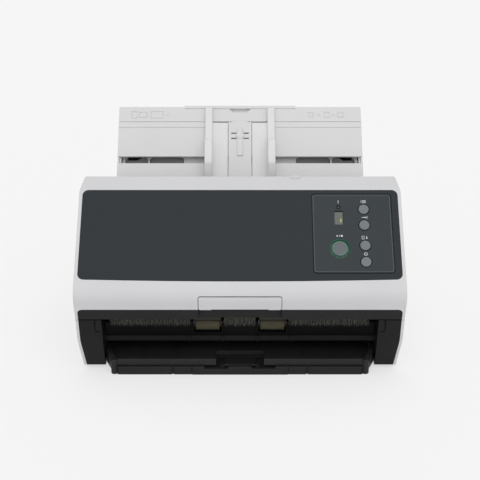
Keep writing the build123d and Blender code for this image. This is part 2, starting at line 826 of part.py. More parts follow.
def idler_gear():
    """The gear between the feed and pick gears, with a space facing each of them."""
    turn = train_line + pi + pi / idler_teeth
    return side_gear(idler_gear_axis, idler_teeth, train_module, *train_x, 2.5 + running, turn)


def pick_gear():
    """The gear on the pick shaft."""
    return side_gear(pick_axis, pick_teeth, train_module, *train_x, shaft_radius, train_line + pi)


def motor_pinion():
    """The motor's shaft and pinion, with a space facing the drive gear."""
    turn = drive_line + pi + pi / pinion_teeth
    pinion = side_gear(motor_axis, pinion_teeth, gear_module, *drive_x, 1.4, turn)
    return pinion + cross_rod(motor_axis, 1.5, drive_x[0], -112)


def shaft(axis):
    """A plain roller shaft."""
    rod = cross_rod(axis, shaft_radius, -shaft_half, shaft_half)
    return chamfer(rod.edges().filter_by(GeomType.CIRCLE), 0.5)


feed_pulley_radius = 9.0
exit_pulley_radius = 7.8
belt_thickness = 1.4
belt_x = (135.0, 140.0)


def pulley(axis, radius):
    """A flanged belt pulley."""
    rim = cross_rod(axis, radius, 134.0, 141.0)
    rim += cross_rod(axis, radius + 1.2, 133.2, 134.2)
    rim += cross_rod(axis, radius + 1.2, 140.8, 141.8)
    return rim - cross_rod(axis, shaft_radius, 120, 150)


def belt_loop(grow):
    """The outline of a loop drawn tight round both pulleys, grown outwards."""
    circles = [
        Pos(*feed_axis) * Edge.make_circle(feed_pulley_radius + grow),
        Pos(*exit_axis) * Edge.make_circle(exit_pulley_radius + grow),
    ]
    return make_hull(circles)


def timing_belt():
    """The belt from the feed shaft to the exit shaft."""
    loop = belt_loop(0.1 + belt_thickness) - belt_loop(0.1)
    return side_slab(loop, *belt_x)


def rubber_feet():
    """Four round feet."""
    feet = Part()
    for x in (-126.0, 126.0):
        for b in (44.0, 152.0):
            foot = Pos(x, nose_y + b, body_bottom / 2) * Cylinder(8, body_bottom)
            feet += chamfer(foot.edges().filter_by(GeomType.CIRCLE).sort_by(Axis.Z)[:1], 0.8)
    return feet


# The stacker

tray_back = 122.0
tray_deck = (9.2, 11.0)
first_deck = (7.1, 8.8)
second_deck = (5.2, 6.6)
stop_axis = (7.6, 7.9)
stop_pin_radius = 0.7
knob_centre = (117.0, 7.2)
knob_radius = 3.4


def plan_slab(points, z_low, z_high):
    """A plan-view outline of (x, b) points made solid between two heights."""
    face = rounded([(x, nose_y + b, r) for x, b, r in points])
    return extrude(Pos(0, 0, z_low) * face, amount=z_high - z_low)


def front_knob():
    """The round post with a softened top at each front corner of the tray."""
    x, b = knob_centre
    post = Pos(x, nose_y + b, (bar_foot + 14.8) / 2) * Cylinder(knob_radius, 14.8 - bar_foot)
    return chamfer(post.edges().filter_by(GeomType.CIRCLE).sort_by(Axis.Z)[-1:], 1.4)


def stacker_tray():
    """The stacker's own tray: a deck with flared side rails, front posts and a front lip."""
    plan = [
        (-tray_front_half, 8.5, 0),
        (-117, 5.2, 0),
        (117, 5.2, 0),
        (tray_front_half, 8.5, 0),
        (tray_half, 20, 8),
        (tray_half, tray_back, 2),
        (-tray_half, tray_back, 2),
        (-tray_half, 20, 8),
    ]
    tray = plan_slab(plan, *tray_deck)
    rail_plan = [
        (knob_centre[0] - knob_radius, knob_centre[1], 0),
        (knob_centre[0] + knob_radius, knob_centre[1], 0),
        (tray_half, 20, 8),
        (tray_half, tray_back, 0),
        (122.6, tray_back, 0),
        (122.6, 24, 8),
        (115.6, 10, 0),
    ]
    rail = plan_slab(rail_plan, 4.4, 16.0)
    rail -= block(121, 127, 60, 130, 15.0, 20)
    rail -= side_slab(sharp([(0, 14.2), (7, 14.2), (22, 16.1), (22, 20), (0, 20)]), 112, 127)
    rail += front_knob()
    web = block(113.4, 123.0, 27, tray_back, 4.4, tray_deck[0] + 0.2)
    lip_rail = block(108.2, 114.0, 27, tray_back, 4.6, 6.6)
    tray += both_sides(rail + web + lip_rail)
    lip = block(22.3, 114.0, 5.2, 7.6, tray_deck[0], 15.6)
    tray += both_sides(fillet(lip.edges().filter_by(Axis.X).sort_by(Axis.Z)[-2:], 0.8))
    tray -= block(-22.3, 22.3, 0, 24, 8, 20)
    tray += block(-22.3, 22.3, 24, 26, tray_deck[0], 13.4)
    for x in (-90, -60, 60, 90):
        tray += block(x - 0.8, x + 0.8, 9, 118, tray_deck[1] - 0.1, 12.0)
    return tray


def stacker_extension():
    """The first sliding extension under the tray's deck, with the outer parts of the front bar."""
    plate = block(-110.6, 110.6, 8.4, 116, *first_deck)
    plate -= block(-22.0, 22.0, 4, 22.0, 5, 12)
    bar = block(end_bar_half + 0.6, bar_half, bar_front, 8.6, bar_foot, first_deck[1])
    bar = fillet(bar.edges().filter_by(Axis.X).sort_by(Axis.Y)[:2], 0.7)
    bar -= block(61.4, 63.4, 2, 4.2, 0, 12)
    bar += block(end_bar_half + 0.6, 47, 8.4, 10.1, bar_foot, 7.2)
    bar += block(42.8, 47, 9.1, 10.1, bar_foot, 7.2)
    keeper = block(42.6, 44.2, 10, 112, 4.3, first_deck[0] + 0.2) + block(38.4, 44.2, 10, 112, 4.3, 4.9)
    return plate + both_sides(bar + keeper)


def stacker_end_extension():
    """The second extension, with the middle of the front bar and the stop's hinge lugs."""
    plate = block(-42.2, 42.2, 8.4, 108, *second_deck)
    bar = block(-end_bar_half, end_bar_half, bar_front, 8.8, bar_foot, second_deck[1])
    bar -= block(-14.8, 14.8, 5.9, 9, 6.1, 8)
    step = block(33, end_bar_half, bar_front, 8.0, bar_foot + 4, first_deck[1])
    step = fillet(step.edges().filter_by(Axis.X).sort_by(Axis.Z)[-2:], 0.7)
    tab_face = sharp([(-12, 5), (12, 5), (12, 6.6), (9.8, 9.1), (-9.8, 9.1), (-12, 6.6)])
    tab = front_slab(tab_face, bar_front, 5.7)
    lug = block(15.0, 17.4, 5.9, 9.3, 5.6, 9.1) - cross_rod(stop_axis, stop_pin_radius + running, 10, 20)
    return plate + bar + tab + both_sides(step + lug)


def stacker_stop():
    """The paper stop that lies flat between its lugs and flips up."""
    flap = block(-14.4, 14.4, stop_axis[0], 21.4, stop_axis[1] - 0.9, stop_axis[1] + 0.9)
    flap = fillet(flap.edges().filter_by(Axis.Z).sort_by(Axis.Y)[-2:], 3)
    barrel = cross_rod(stop_axis, 1.2, -14.4, 14.4)
    return flap + barrel + cross_rod(stop_axis, stop_pin_radius, -17.2, 17.2)


# The chute


def chute_block(x_low, x_high, t_low, t_high, n_low, n_high):
    """A block on the chute's plane."""
    return plane_block(chute_plane, x_low, x_high, t_low, t_high, n_low, n_high)


plate_end = 59.4
chute_start = -3.4


def chute_plate():
    """The chute's face: two panels either side of the guide gap, joined by the middle column."""
    half = chute_half_width
    plate = chute_block(-half, half, chute_start, chute_gap[0], -2.5, 0)
    plate += chute_block(-half, half, chute_gap[1], plate_end, -2.5, 0)
    plate += chute_block(-half, half, 53.5, plate_end, -0.5, 0.35)
    plate += chute_block(-11.6, 11.6, chute_start, plate_end, -2.5, 1.7)
    plate += chute_block(-2.6, 2.6, 22, 52, 1.5, 2.8)
    plate += plane_disc(chute_plane, 0, 43.6, 3.3, 1.5, 3.1)
    for t in (40.8, 46.4):
        for x in (-6.2, 6.2):
            plate -= chute_block(x - 2.6, x + 2.6, t - 0.7, t + 0.7, -3, 4)
    plate -= both_sides(chute_block(7.6, 27.2, plate_end - 0.8, plate_end + 1, -3, 3))
    plate += both_sides(chute_block(half - 1.7, half, chute_start, plate_end, -chute_thickness, -0.5))
    return plate + plane_disc(chute_plane, 0, rack_pinion_t, 2.5, -7.2, -2.0)


def chute_frame():
    """The chute's rear shell, with lugs into the rear cover."""
    half = chute_half_width - 1.8
    floor = -chute_thickness + 1.8
    frame = chute_block(-half, half, chute_start, 58.6, -chute_thickness, floor)
    frame += chute_block(-half, half, chute_start, chute_start + 1.8, -chute_thickness, -2.6)
    frame += both_sides(chute_block(half - 1.8, half, chute_start, 58.6, -chute_thickness, -2.6))
    for x in (-86, 86):
        lug = block(x - 7.8, x + 7.8, 144.0, 149.0, 124, 160)
        under = chute_block(-half, half, -20, 40, -chute_thickness + 0.8, 40)
        frame += lug - under
    return frame


def rack_teeth(t_pitch, side, x_start, count):
    """A row of straight-flanked teeth that point to the pinion. side is +1 or -1."""
    pitch = pi * gear_module
    slope = tan(pressure_angle)
    half = pitch / 4 - gear_backlash / 2
    teeth = []
    for k in range(count):
        x = x_start + k * pitch
        tip, root = 0.8, 1.2
        teeth += [
            (x - half - root * slope, t_pitch - side * root),
            (x - half + tip * slope, t_pitch + side * tip),
            (x + half - tip * slope, t_pitch + side * tip),
            (x + half + root * slope, t_pitch - side * root),
        ]
    back = t_pitch - side * 4.6
    ends = [(teeth[-1][0], back), (teeth[0][0], back)]
    return make_face(Polyline(*teeth, *ends, close=True))


def side_guide(side):
    """A document side guide. side is -1 for the left one, which drives the lower rack."""
    fin = rounded(
        [
            (-4.2, 0.4, 0),
            (-4.2, 6.8, 2.5),
            (10, 13.6, 6),
            (33, 13.6, 4),
            (41, 4.2, 4),
            (74.8, 3.4, 2.5),
            (74.8, 0.4, 0),
        ]
    )
    edge_plane = Plane(
        origin=(chute_plane * Pos(guide_inner, 0, 0)).position,
        x_dir=chute_plane.y_dir,
        z_dir=chute_plane.x_dir,
    )
    guide = extrude(edge_plane * fin, amount=guide_outer - guide_inner)
    guide += chute_block(12.2, guide_inner + 0.5, chute_start, 58.0, 0.4, 1.6)
    guide += chute_block(28.5, 34.5, chute_gap[0] + 0.4, chute_gap[1] - 0.4, -7.0, 0.6)
    if side < 0:
        guide = mirror(guide, about=Plane.YZ)
    pitch = pi * gear_module
    radius = rack_pinion_teeth * gear_module / 2
    outer_teeth = 10
    count = outer_teeth + 1 + int((guide_travel + 6) / pitch)
    if side < 0:
        guide += chute_block(-34.5, -28.5, 5.7, chute_gap[0] + 1, -7.0, -3.2)
        teeth = rack_teeth(rack_pinion_t - radius, 1, -outer_teeth * pitch, count)
    else:
        guide += chute_block(28.5, 34.5, chute_gap[1] - 1, 30.8, -7.0, -3.2)
        teeth = rack_teeth(rack_pinion_t + radius, -1, (outer_teeth + 1 - count) * pitch, count)
    return guide + plane_plate(chute_plane, teeth, -6.8, -3.4)


def guide_pinion():
    """The pinion that makes the two side guides move together."""
    turn = -pi / 2 + pi / rack_pinion_teeth
    face = Pos(0, rack_pinion_t) * gear_face(rack_pinion_teeth, gear_module, turn)
    pinion = plane_plate(chute_plane, face, -6.8, -3.4)
    return pinion - plane_disc(chute_plane, 0, rack_pinion_t, 2.5 + running, -9, 0)


def chute_extension():
    """The first chute extension: its marked strip, and the plate that slides in the chute."""
    half = chute_half_width
    strip = plane_plate(
        chute_plane,
        rounded([(-half, 59.9, 0), (half, 59.9, 0), (half, 76.0, 2), (-half, 76.0, 2)]),
        -2.4,
        0,
    )
    strip -= chute_block(-56.8, 56.8, 73.9, 80, -5, 5)
    notch = sharp([(-11.4, 74.5), (-7.0, 70.0), (7.0, 70.0), (11.4, 74.5)])
    strip -= plane_plate(chute_plane, notch, -5, 5)
    plate = chute_block(-118.2, 118.2, 8, 73.4, -9.4, -7.7)
    for left, right in ((56.4, 90.8), (92.5, 115.3)):
        window = [(left, 12), (left, 22), (left + 3, 25), (right - 3, 25), (right, 22), (right, 12)]
        plate -= both_sides(plane_plate(chute_plane, sharp(window), -10, -7))
    for x in (61, 101):
        plate += both_sides(chute_block(x - 1.5, x + 1.5, 27, 57, -11.3, -9.2))
    web = chute_block(-118.2, 118.2, 59.9, 61.9, -9.4, 0)
    ends = both_sides(chute_block(half - 6, half - 4.4, 59.9, 74, -9.4, -1))
    return strip + plate + web + ends


def chute_end_extension():
    """The second chute extension, with the grip bar at the top."""
    plate = chute_block(-54, 54, 12, 75, -grip_depth, -9.8)
    grip = chute_block(-56.4, 56.4, 74.2, chute_length, -grip_depth, 0)
    grip = fillet(grip.edges().filter_by(Axis.X).sort_by(Axis.Z)[-2:], 0.8)
    return plate + grip + chute_block(-12, 12, 66, 74.6, -5.5, -3.0)


def main():
    """Builds each piece and writes it to parts/."""
    right = side_cover()
    pieces = {
        "adf_cover": adf_cover(),
        "front_panel": front_panel(),
        "operator_plate": operator_plate(),
        "scan_button_ring": scan_button_ring(),
        "display_window": display_window(),
        "check_lamp": check_lamp(),
        "operator_board": operator_board(),
        "cover_lever": cover_lever(),
        "upper_front_bezel": upper_front_bezel(),
        "upper_guide_frame": upper_guide_frame(),
        "upper_glass": glass(path_gap + 0.2, path_gap + guide_wall),
        "upper_sensor": sensor_bar(path_gap + guide_wall, 16.0),
        "brake_rollers": idler_set(brake_axis, brake_radius, roller_width, 3.0, 50.5),
        "feed_idlers": idler_set(feed_idler_axis, feed_idler_radius, 16, 2.0, 45.5),
        "exit_idlers": idler_set(exit_idler_axis, exit_idler_radius, 25, 1.8, 48.5),
        "right_side_cover": right,
        "left_side_cover": mirror(right, about=Plane.YZ),
        "front_bezel": front_bezel(),
        "lower_guide": lower_guide(),
        "lower_glass": glass(-guide_wall, -0.2),
        "lower_sensor": sensor_bar(-13.6, -guide_wall),
        "side_frames": side_frames(),
        "shaft_bushings": shaft_bushings(),
        "hinge_pins": hinge_pins(),
        "base_pan": base_pan(),
        "bay_deck": bay_deck(),
        "rear_cover": rear_cover(),
        "main_board": main_board(),
        "connectors": connectors(),
        "motor": motor(),
        "motor_pinion": motor_pinion(),
        "feed_gears": feed_gears(),
        "idler_gear": idler_gear(),
        "pick_gear": pick_gear(),
        "feed_shaft": shaft(feed_axis),
        "feed_rollers": roller_pair(feed_axis, feed_radius, shaft_radius),
        "feed_pulley": pulley(feed_axis, feed_pulley_radius),
        "exit_shaft": shaft(exit_axis),
        "exit_rollers": roller_pair(exit_axis, exit_radius, shaft_radius),
        "exit_pulley": pulley(exit_axis, exit_pulley_radius),
        "pick_shaft": shaft(pick_axis),
        "pick_rollers": roller_pair(pick_axis, pick_radius, shaft_radius),
        "timing_belt": timing_belt(),
        "rubber_feet": rubber_feet(),
        "stacker_tray": stacker_tray(),
        "stacker_extension": stacker_extension(),
        "stacker_end_extension": stacker_end_extension(),
        "stacker_stop": stacker_stop(),
        "chute_plate": chute_plate(),
        "chute_frame": chute_frame(),
        "left_side_guide": side_guide(-1),
        "right_side_guide": side_guide(1),
        "guide_pinion": guide_pinion(),
        "chute_extension": chute_extension(),
        "chute_end_extension": chute_end_extension(),
    }
    for name in button_places:
        pieces[name] = button(name)
    os.makedirs("parts", exist_ok=True)
    for name, shape in pieces.items():
        export_step(shape, f"parts/{name}.step")


if __name__ == "__main__":
    main()
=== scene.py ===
import json
import math
import random

import bmesh
import bpy
from mathutils import Matrix, Vector


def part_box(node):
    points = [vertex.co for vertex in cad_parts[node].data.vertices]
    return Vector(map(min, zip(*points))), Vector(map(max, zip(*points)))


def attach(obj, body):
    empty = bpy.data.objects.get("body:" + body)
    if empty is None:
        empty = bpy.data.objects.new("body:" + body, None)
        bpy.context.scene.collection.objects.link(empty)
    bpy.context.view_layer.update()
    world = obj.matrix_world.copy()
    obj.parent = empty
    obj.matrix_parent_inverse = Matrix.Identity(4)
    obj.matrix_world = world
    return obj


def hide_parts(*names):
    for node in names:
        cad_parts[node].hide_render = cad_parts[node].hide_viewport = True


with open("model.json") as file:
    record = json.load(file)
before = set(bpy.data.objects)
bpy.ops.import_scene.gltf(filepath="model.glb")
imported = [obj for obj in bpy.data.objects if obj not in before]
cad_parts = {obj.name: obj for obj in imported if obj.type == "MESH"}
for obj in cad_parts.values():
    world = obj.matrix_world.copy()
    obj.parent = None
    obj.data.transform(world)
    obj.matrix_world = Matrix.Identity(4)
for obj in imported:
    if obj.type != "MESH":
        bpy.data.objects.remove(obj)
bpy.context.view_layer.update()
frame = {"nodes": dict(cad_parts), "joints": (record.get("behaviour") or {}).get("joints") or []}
nodes = frame["nodes"]
print("frame loaded:", len(nodes), "nodes")

mm = 0.001  # the pieces are written in millimetres, and Blender works in metres


# Helpers

def linearColour(hexColour):
    channels = [int(hexColour[i:i + 2], 16) / 255 for i in (0, 2, 4)]
    # sRGB to linear light
    return [c / 12.92 if c <= 0.04045 else ((c + 0.055) / 1.055) ** 2.4 for c in channels] + [1.0]


def addNode(tree, kind, settings=None, links=None):
    node = tree.nodes.new(kind)
    for name, value in (settings or {}).items():
        if isinstance(name, int) or name in node.inputs:
            node.inputs[name].default_value = value
        else:
            setattr(node, name, value)
    for name, source in (links or {}).items():
        tree.links.new(source, node.inputs[name])
    return node


def newMaterial(name):
    material = bpy.data.materials.new(name)
    material.use_nodes = True
    tree = material.node_tree
    shader = tree.nodes["Principled BSDF"]
    coords = addNode(tree, "ShaderNodeTexCoord").outputs["Object"]
    return material, tree, shader, coords


def blend(tree, factor, first, second):
    # a colour that wanders between two hex values
    mix = addNode(
        tree,
        "ShaderNodeMix",
        {"data_type": "RGBA", 6: linearColour(first), 7: linearColour(second)},
        {0: factor},
    )
    return mix.outputs[2]


def spread(tree, value, low, high):
    # a noise mostly stays between 0.3 and 0.7: this stretches it from low to high
    settings = {"From Min": 0.3, "From Max": 0.7, "To Min": low, "To Max": high}
    return addNode(tree, "ShaderNodeMapRange", settings, {"Value": value}).outputs["Result"]


def noise(tree, coords, sizeMm, detail=2.0, roughness=0.5):
    settings = {"Scale": 1 / (sizeMm * mm), "Detail": detail, "Roughness": roughness}
    return addNode(tree, "ShaderNodeTexNoise", settings, {"Vector": coords}).outputs["Fac"]


def mouldedFinish(name, look):
    # injection-moulded plastic: a spark-eroded grain, soft mould edges and faint flow clouds
    material, tree, shader, coords = newMaterial(name)
    clouds = spread(tree, noise(tree, coords, look["cloudMm"], 3), 0, 1)
    tree.links.new(blend(tree, clouds, look["colour"], look["cloud"]), shader.inputs["Base Color"])
    patches = noise(tree, coords, look["patchMm"], 4, 0.6)
    tree.links.new(spread(tree, patches, *look["gloss"]), shader.inputs["Roughness"])
    edge = addNode(tree, "ShaderNodeBevel", {"samples": 4, "Radius": look["edgeMm"] * mm})
    grain = noise(tree, coords, look["grainMm"], 2, 0.7)
    bump = addNode(
        tree,
        "ShaderNodeBump",
        {"Strength": look["grain"], "Distance": 0.05 * mm},
        {"Height": grain, "Normal": edge.outputs["Normal"]},
    )
    tree.links.new(bump.outputs["Normal"], shader.inputs["Normal"])
    shader.inputs["IOR"].default_value = look.get("ior", 1.54)
    shader.inputs["Specular IOR Level"].default_value = look.get("shine", 0.5)
    return material


def turnedMetal(name, colour, cloud, gloss, streakMm):
    # machined or rolled metal: fine streaks along X and slight staining
    material, tree, shader, coords = newMaterial(name)
    stretch = addNode(
        tree, "ShaderNodeMapping", {"Scale": (0.02, 1.0, 1.0)}, {"Vector": coords}
    ).outputs["Vector"]
    streaks = noise(tree, stretch, streakMm, 3, 0.7)
    clouds = spread(tree, noise(tree, coords, 12, 4), 0, 1)
    tree.links.new(blend(tree, clouds, colour, cloud), shader.inputs["Base Color"])
    tree.links.new(spread(tree, streaks, *gloss), shader.inputs["Roughness"])
    edge = addNode(tree, "ShaderNodeBevel", {"samples": 4, "Radius": 0.2 * mm})
    bump = addNode(
        tree,
        "ShaderNodeBump",
        {"Strength": 0.3, "Distance": 0.02 * mm},
        {"Height": streaks, "Normal": edge.outputs["Normal"]},
    )
    tree.links.new(bump.outputs["Normal"], shader.inputs["Normal"])
    shader.inputs["Metallic"].default_value = 1.0
    return material


# Materials

# Sizes in millimetres: cloudMm of the colour clouds, patchMm of the gloss patches, edgeMm of the
# softened edges, grainMm of the mould's grain, which is drawn coarser than real so that it shows
plasticLooks = {
    # outer covers: pale cool grey, satin, with a grain felt more than seen
    "moulded white ABS": {
        "colour": "D1D1D3", "cloud": "CDCDCF", "cloudMm": 70, "patchMm": 3, "gloss": (0.42, 0.52),
        "edgeMm": 0.5, "grain": 0.10, "grainMm": 0.8,
    },
    # the chute: the same resin, a little warmer and flatter
    "moulded chute ABS": {
        "colour": "D8D7D7", "cloud": "D4D3D3", "cloudMm": 60, "patchMm": 3, "gloss": (0.46, 0.58),
        "edgeMm": 0.4, "grain": 0.12, "grainMm": 0.8,
    },
    # the two side guides: the lightest pieces, rubbed smooth by paper
    "polished guide ABS": {
        "colour": "DDDDDD", "cloud": "DADADA", "cloudMm": 30, "patchMm": 3, "gloss": (0.38, 0.50),
        "edgeMm": 0.4, "grain": 0.08, "grainMm": 0.8,
    },
    # band, pan and stacker bars: black-grey, matte, with a coarser grain; on the lips in the bar's
    # seams this black-grey is painted shadow
    "charcoal ABS and painted shadow": {
        "colour": "212122", "cloud": "1D1D1E", "cloudMm": 45, "patchMm": 2, "gloss": (0.44, 0.60),
        "edgeMm": 0.4, "grain": 0.22, "grainMm": 0.9, "shine": 0.2,
    },
    # the stacker tray: the same black-grey, made a little lighter all over as painted light, to
    # lift its shaded deck
    "charcoal ABS with painted light": {
        "colour": "28282A", "cloud": "242425", "cloudMm": 30, "patchMm": 2, "gloss": (0.44, 0.58),
        "edgeMm": 0.4, "grain": 0.22, "grainMm": 0.9, "shine": 0.2,
    },
    # the lower front, in the shade of the covers: the same resin, made blacker by painted shade
    "charcoal ABS with painted shade": {
        "colour": "1A1A1B", "cloud": "171718", "cloudMm": 45, "patchMm": 2, "gloss": (0.46, 0.62),
        "edgeMm": 0.4, "grain": 0.22, "grainMm": 0.9, "shine": 0.16,
    },
    # the wide front panel: dark slate, smooth, with a soft lacquer sheen
    "lacquered slate panel": {
        "colour": "21272C", "cloud": "1F252A", "cloudMm": 80, "patchMm": 6, "gloss": (0.34, 0.42),
        "edgeMm": 0.4, "grain": 0.05, "grainMm": 0.8, "shine": 0.2,
    },
    # the operator plate: a shade greener and flatter than the panel around it
    "printed slate film": {
        "colour": "31373A", "cloud": "2F3538", "cloudMm": 40, "patchMm": 4, "gloss": (0.42, 0.50),
        "edgeMm": 0.25, "grain": 0.08, "grainMm": 0.7, "shine": 0.2,
    },
    # the plate's raised border: the same film, painted paler as a highlight along its rounded edge
    "slate film edge with painted highlight": {
        "colour": "545B5E", "cloud": "4C5356", "cloudMm": 12, "patchMm": 3, "gloss": (0.40, 0.48),
        "edgeMm": 0.1, "grain": 0.08, "grainMm": 0.6, "shine": 0.3,
    },
    # key caps: mid grey, satin, domed edges
    "moulded grey key ABS": {
        "colour": "6D7375", "cloud": "696F71", "cloudMm": 8, "patchMm": 2, "gloss": (0.40, 0.48),
        "edgeMm": 0.3, "grain": 0.10, "grainMm": 0.6, "shine": 0.4,
    },
    # the scan key's cap: a shade darker and duller than the small keys
    "pearl grey key ABS": {
        "colour": "575D61", "cloud": "606467", "cloudMm": 5, "patchMm": 2, "gloss": (0.42, 0.52),
        "edgeMm": 0.3, "grain": 0.12, "grainMm": 0.6, "shine": 0.4,
    },
    # the paper guides inside: jet-black ABS, darkened further as painted shade for the recess they
    # stand in, so that only the ribs' edges catch the light
    "jet ABS with painted shade": {
        "colour": "0B0B0C", "cloud": "0E0E0F", "cloudMm": 30, "patchMm": 2, "gloss": (0.46, 0.60),
        "edgeMm": 0.3, "grain": 0.18, "grainMm": 0.8, "shine": 0.12,
    },
    # the scan key's clear edge: green-grey, a painted reflection of the green light guide around
    # it
    "key edge with painted green reflection": {
        "colour": "58716A", "cloud": "516A62", "cloudMm": 5, "patchMm": 2, "gloss": (0.30, 0.40),
        "edgeMm": 0.2, "grain": 0.06, "grainMm": 0.6, "shine": 0.4,
    },
    # line sensors, lamp collar, socket tongue and the chute's pockets: plain black, dull; on the
    # chute's pockets this black is painted shadow
    "black nylon and painted shadow": {
        "colour": "161718", "cloud": "1C1D1E", "cloudMm": 20, "patchMm": 2, "gloss": (0.5, 0.65),
        "edgeMm": 0.3, "grain": 0.25, "grainMm": 0.7, "shine": 0.2,
    },
    # grey sheet in the chute's rear shell: plain mid grey, matte, painted shade that darkens the
    # slots
    "mid-grey ABS of painted shade": {
        "colour": "979798", "cloud": "919192", "cloudMm": 20, "patchMm": 2, "gloss": (0.5, 0.65),
        "edgeMm": 0.3, "grain": 0.2, "grainMm": 0.7, "shine": 0.3,
    },
    # gears, pulleys and the guides' pinion: unpainted acetal, waxy off-white
    "natural acetal": {
        "colour": "E6E2D6", "cloud": "DDD8CA", "cloudMm": 10, "patchMm": 2, "gloss": (0.28, 0.38),
        "edgeMm": 0.15, "grain": 0.06, "grainMm": 0.6, "ior": 1.48,
    },
    # the two rows of idlers in the upper unit: dark olive acetal, waxy
    "moulded olive acetal": {
        "colour": "22211B", "cloud": "292820", "cloudMm": 8, "patchMm": 2, "gloss": (0.3, 0.42),
        "edgeMm": 0.15, "grain": 0.06, "grainMm": 0.6, "ior": 1.48, "shine": 0.3,
    },
    # discharge brush: grey-olive fibre tufts with a dry sheen; the pale flecks in their colour are
    # painted glints
    "fibre tuft with painted glints": {
        "colour": "33322C", "cloud": "7C7969", "cloudMm": 2.5, "patchMm": 1, "gloss": (0.5, 0.7),
        "edgeMm": 0.02, "grain": 0.2, "grainMm": 0.5, "shine": 0.4,
    },
    # feed rollers: olive-khaki urethane, dull, faintly ground
    "ground khaki urethane": {
        "colour": "433F30", "cloud": "4C4838", "cloudMm": 6, "patchMm": 1, "gloss": (0.55, 0.75),
        "edgeMm": 0.3, "grain": 0.45, "grainMm": 0.7, "ior": 1.5, "shine": 0.25,
    },
    # feet and belt: carbon-black rubber
    "black moulded rubber": {
        "colour": "1B1B1B", "cloud": "242322", "cloudMm": 6, "patchMm": 1, "gloss": (0.65, 0.85),
        "edgeMm": 0.3, "grain": 0.4, "grainMm": 0.6, "ior": 1.52,
    },
    # raised print on the operator plate: dense white ink, slightly uneven
    "white screen print": {
        "colour": "D8DBDC", "cloud": "C9CDCF", "cloudMm": 3, "patchMm": 1, "gloss": (0.5, 0.6),
        "edgeMm": 0.02, "grain": 0.1, "grainMm": 0.5,
    },
    # unlit display bars: dull olive grey behind smoked acrylic
    "unlit display bar": {
        "colour": "5C6050", "cloud": "646857", "cloudMm": 2, "patchMm": 1, "gloss": (0.4, 0.5),
        "edgeMm": 0.02, "grain": 0.05, "grainMm": 0.5,
    },
}
# Colour, cloud, range of roughness, width of the streaks in millimetres, coarser than real ones
metalLooks = {
    # ground shafts and pins: bright, with fine turning lines
    "ground steel": ("A9ABAD", "9C9EA0", (0.18, 0.32), 0.4),
    # bay deck under the rollers: black-passivated sheet, dull
    "black-passivated sheet": ("2A2B2D", "232426", (0.42, 0.56), 0.9),
    # side frames: zinc-plated sheet, slightly cloudy
    "zinc-plated sheet": ("B4B6B8", "A3A6AA", (0.34, 0.50), 0.9),
    # sintered bushings and the motor's pinion: dull bronze
    "sintered bronze": ("A98552", "96723F", (0.42, 0.58), 0.5),
    # motor can and screws: dark nickel plate
    "dark nickel plate": ("6E7072", "606264", (0.28, 0.42), 0.6),
    # socket shells: bright tin plate
    "tin plate": ("B9BBBC", "ADAFB1", (0.22, 0.36), 0.5),
    # contacts: thin gold flash
    "gold flash": ("D2A64A", "C2943A", (0.2, 0.3), 0.4),
}
materials = {name: mouldedFinish(name, look) for name, look in plasticLooks.items()}
materials.update({name: turnedMetal(name, *look) for name, look in metalLooks.items()})


def ringPolycarbonate():
    # light guide round the scan key: unlit green polycarbonate, glossy, its green wandering
    # between two tones
    material, tree, shader, coords = newMaterial("green polycarbonate light guide")
    depth = spread(tree, noise(tree, coords, 5, 2), 0, 1)
    tree.links.new(blend(tree, depth, "1E6B4A", "195A40"), shader.inputs["Base Color"])
    gloss = spread(tree, noise(tree, coords, 1.5, 3), 0.16, 0.26)
    tree.links.new(gloss, shader.inputs["Roughness"])
    shader.inputs["IOR"].default_value = 1.58
    shader.inputs["Coat Weight"].default_value = 0.4
    return material


def smokedAcrylic():
    # display window: grey smoked acrylic, polished, slightly cloudy inside
    material, tree, shader, coords = newMaterial("smoked acrylic window")
    clouds = spread(tree, noise(tree, coords, 6, 2), 0, 1)
    tree.links.new(blend(tree, clouds, "50544E", "474B45"), shader.inputs["Base Color"])
    gloss = spread(tree, noise(tree, coords, 3, 3), 0.08, 0.16)
    tree.links.new(gloss, shader.inputs["Roughness"])
    shader.inputs["IOR"].default_value = 1.49
    shader.inputs["Coat Weight"].default_value = 0.6
    return material


def litBar():
    # the digit's lit marks: yellow-green, glowing faintly
    material, tree, shader, coords = newMaterial("lit display bar")
    glow = spread(tree, noise(tree, coords, 1, 2), 0, 1)
    tree.links.new(blend(tree, glow, "B9C25A", "CDD56E"), shader.inputs["Base Color"])
    shader.inputs["Roughness"].default_value = 0.4
    shader.inputs["Emission Color"].default_value = linearColour("C9D360")
    shader.inputs["Emission Strength"].default_value = 0.35
    return material


def lampLens():
    # status lamp: unlit dark diffused epoxy
    material, tree, shader, coords = newMaterial("diffused epoxy lens")
    clouds = spread(tree, noise(tree, coords, 2, 2), 0, 1)
    tree.links.new(blend(tree, clouds, "1A1D1C", "262A27"), shader.inputs["Base Color"])
    gloss = spread(tree, noise(tree, coords, 1, 2), 0.12, 0.2)
    tree.links.new(gloss, shader.inputs["Roughness"])
    shader.inputs["IOR"].default_value = 1.52
    return material


def floatGlass():
    # scan windows: polished float glass, faintly green, over the dark sensors
    material, tree, shader, coords = newMaterial("polished float glass")
    tint = spread(tree, noise(tree, coords, 30, 2), 0, 1)
    tree.links.new(blend(tree, tint, "E2EDE8", "D8E6E0"), shader.inputs["Base Color"])
    gloss = spread(tree, noise(tree, coords, 8, 3), 0.01, 0.04)
    tree.links.new(gloss, shader.inputs["Roughness"])
    shader.inputs["Transmission Weight"].default_value = 0.9
    shader.inputs["IOR"].default_value = 1.52
    return material


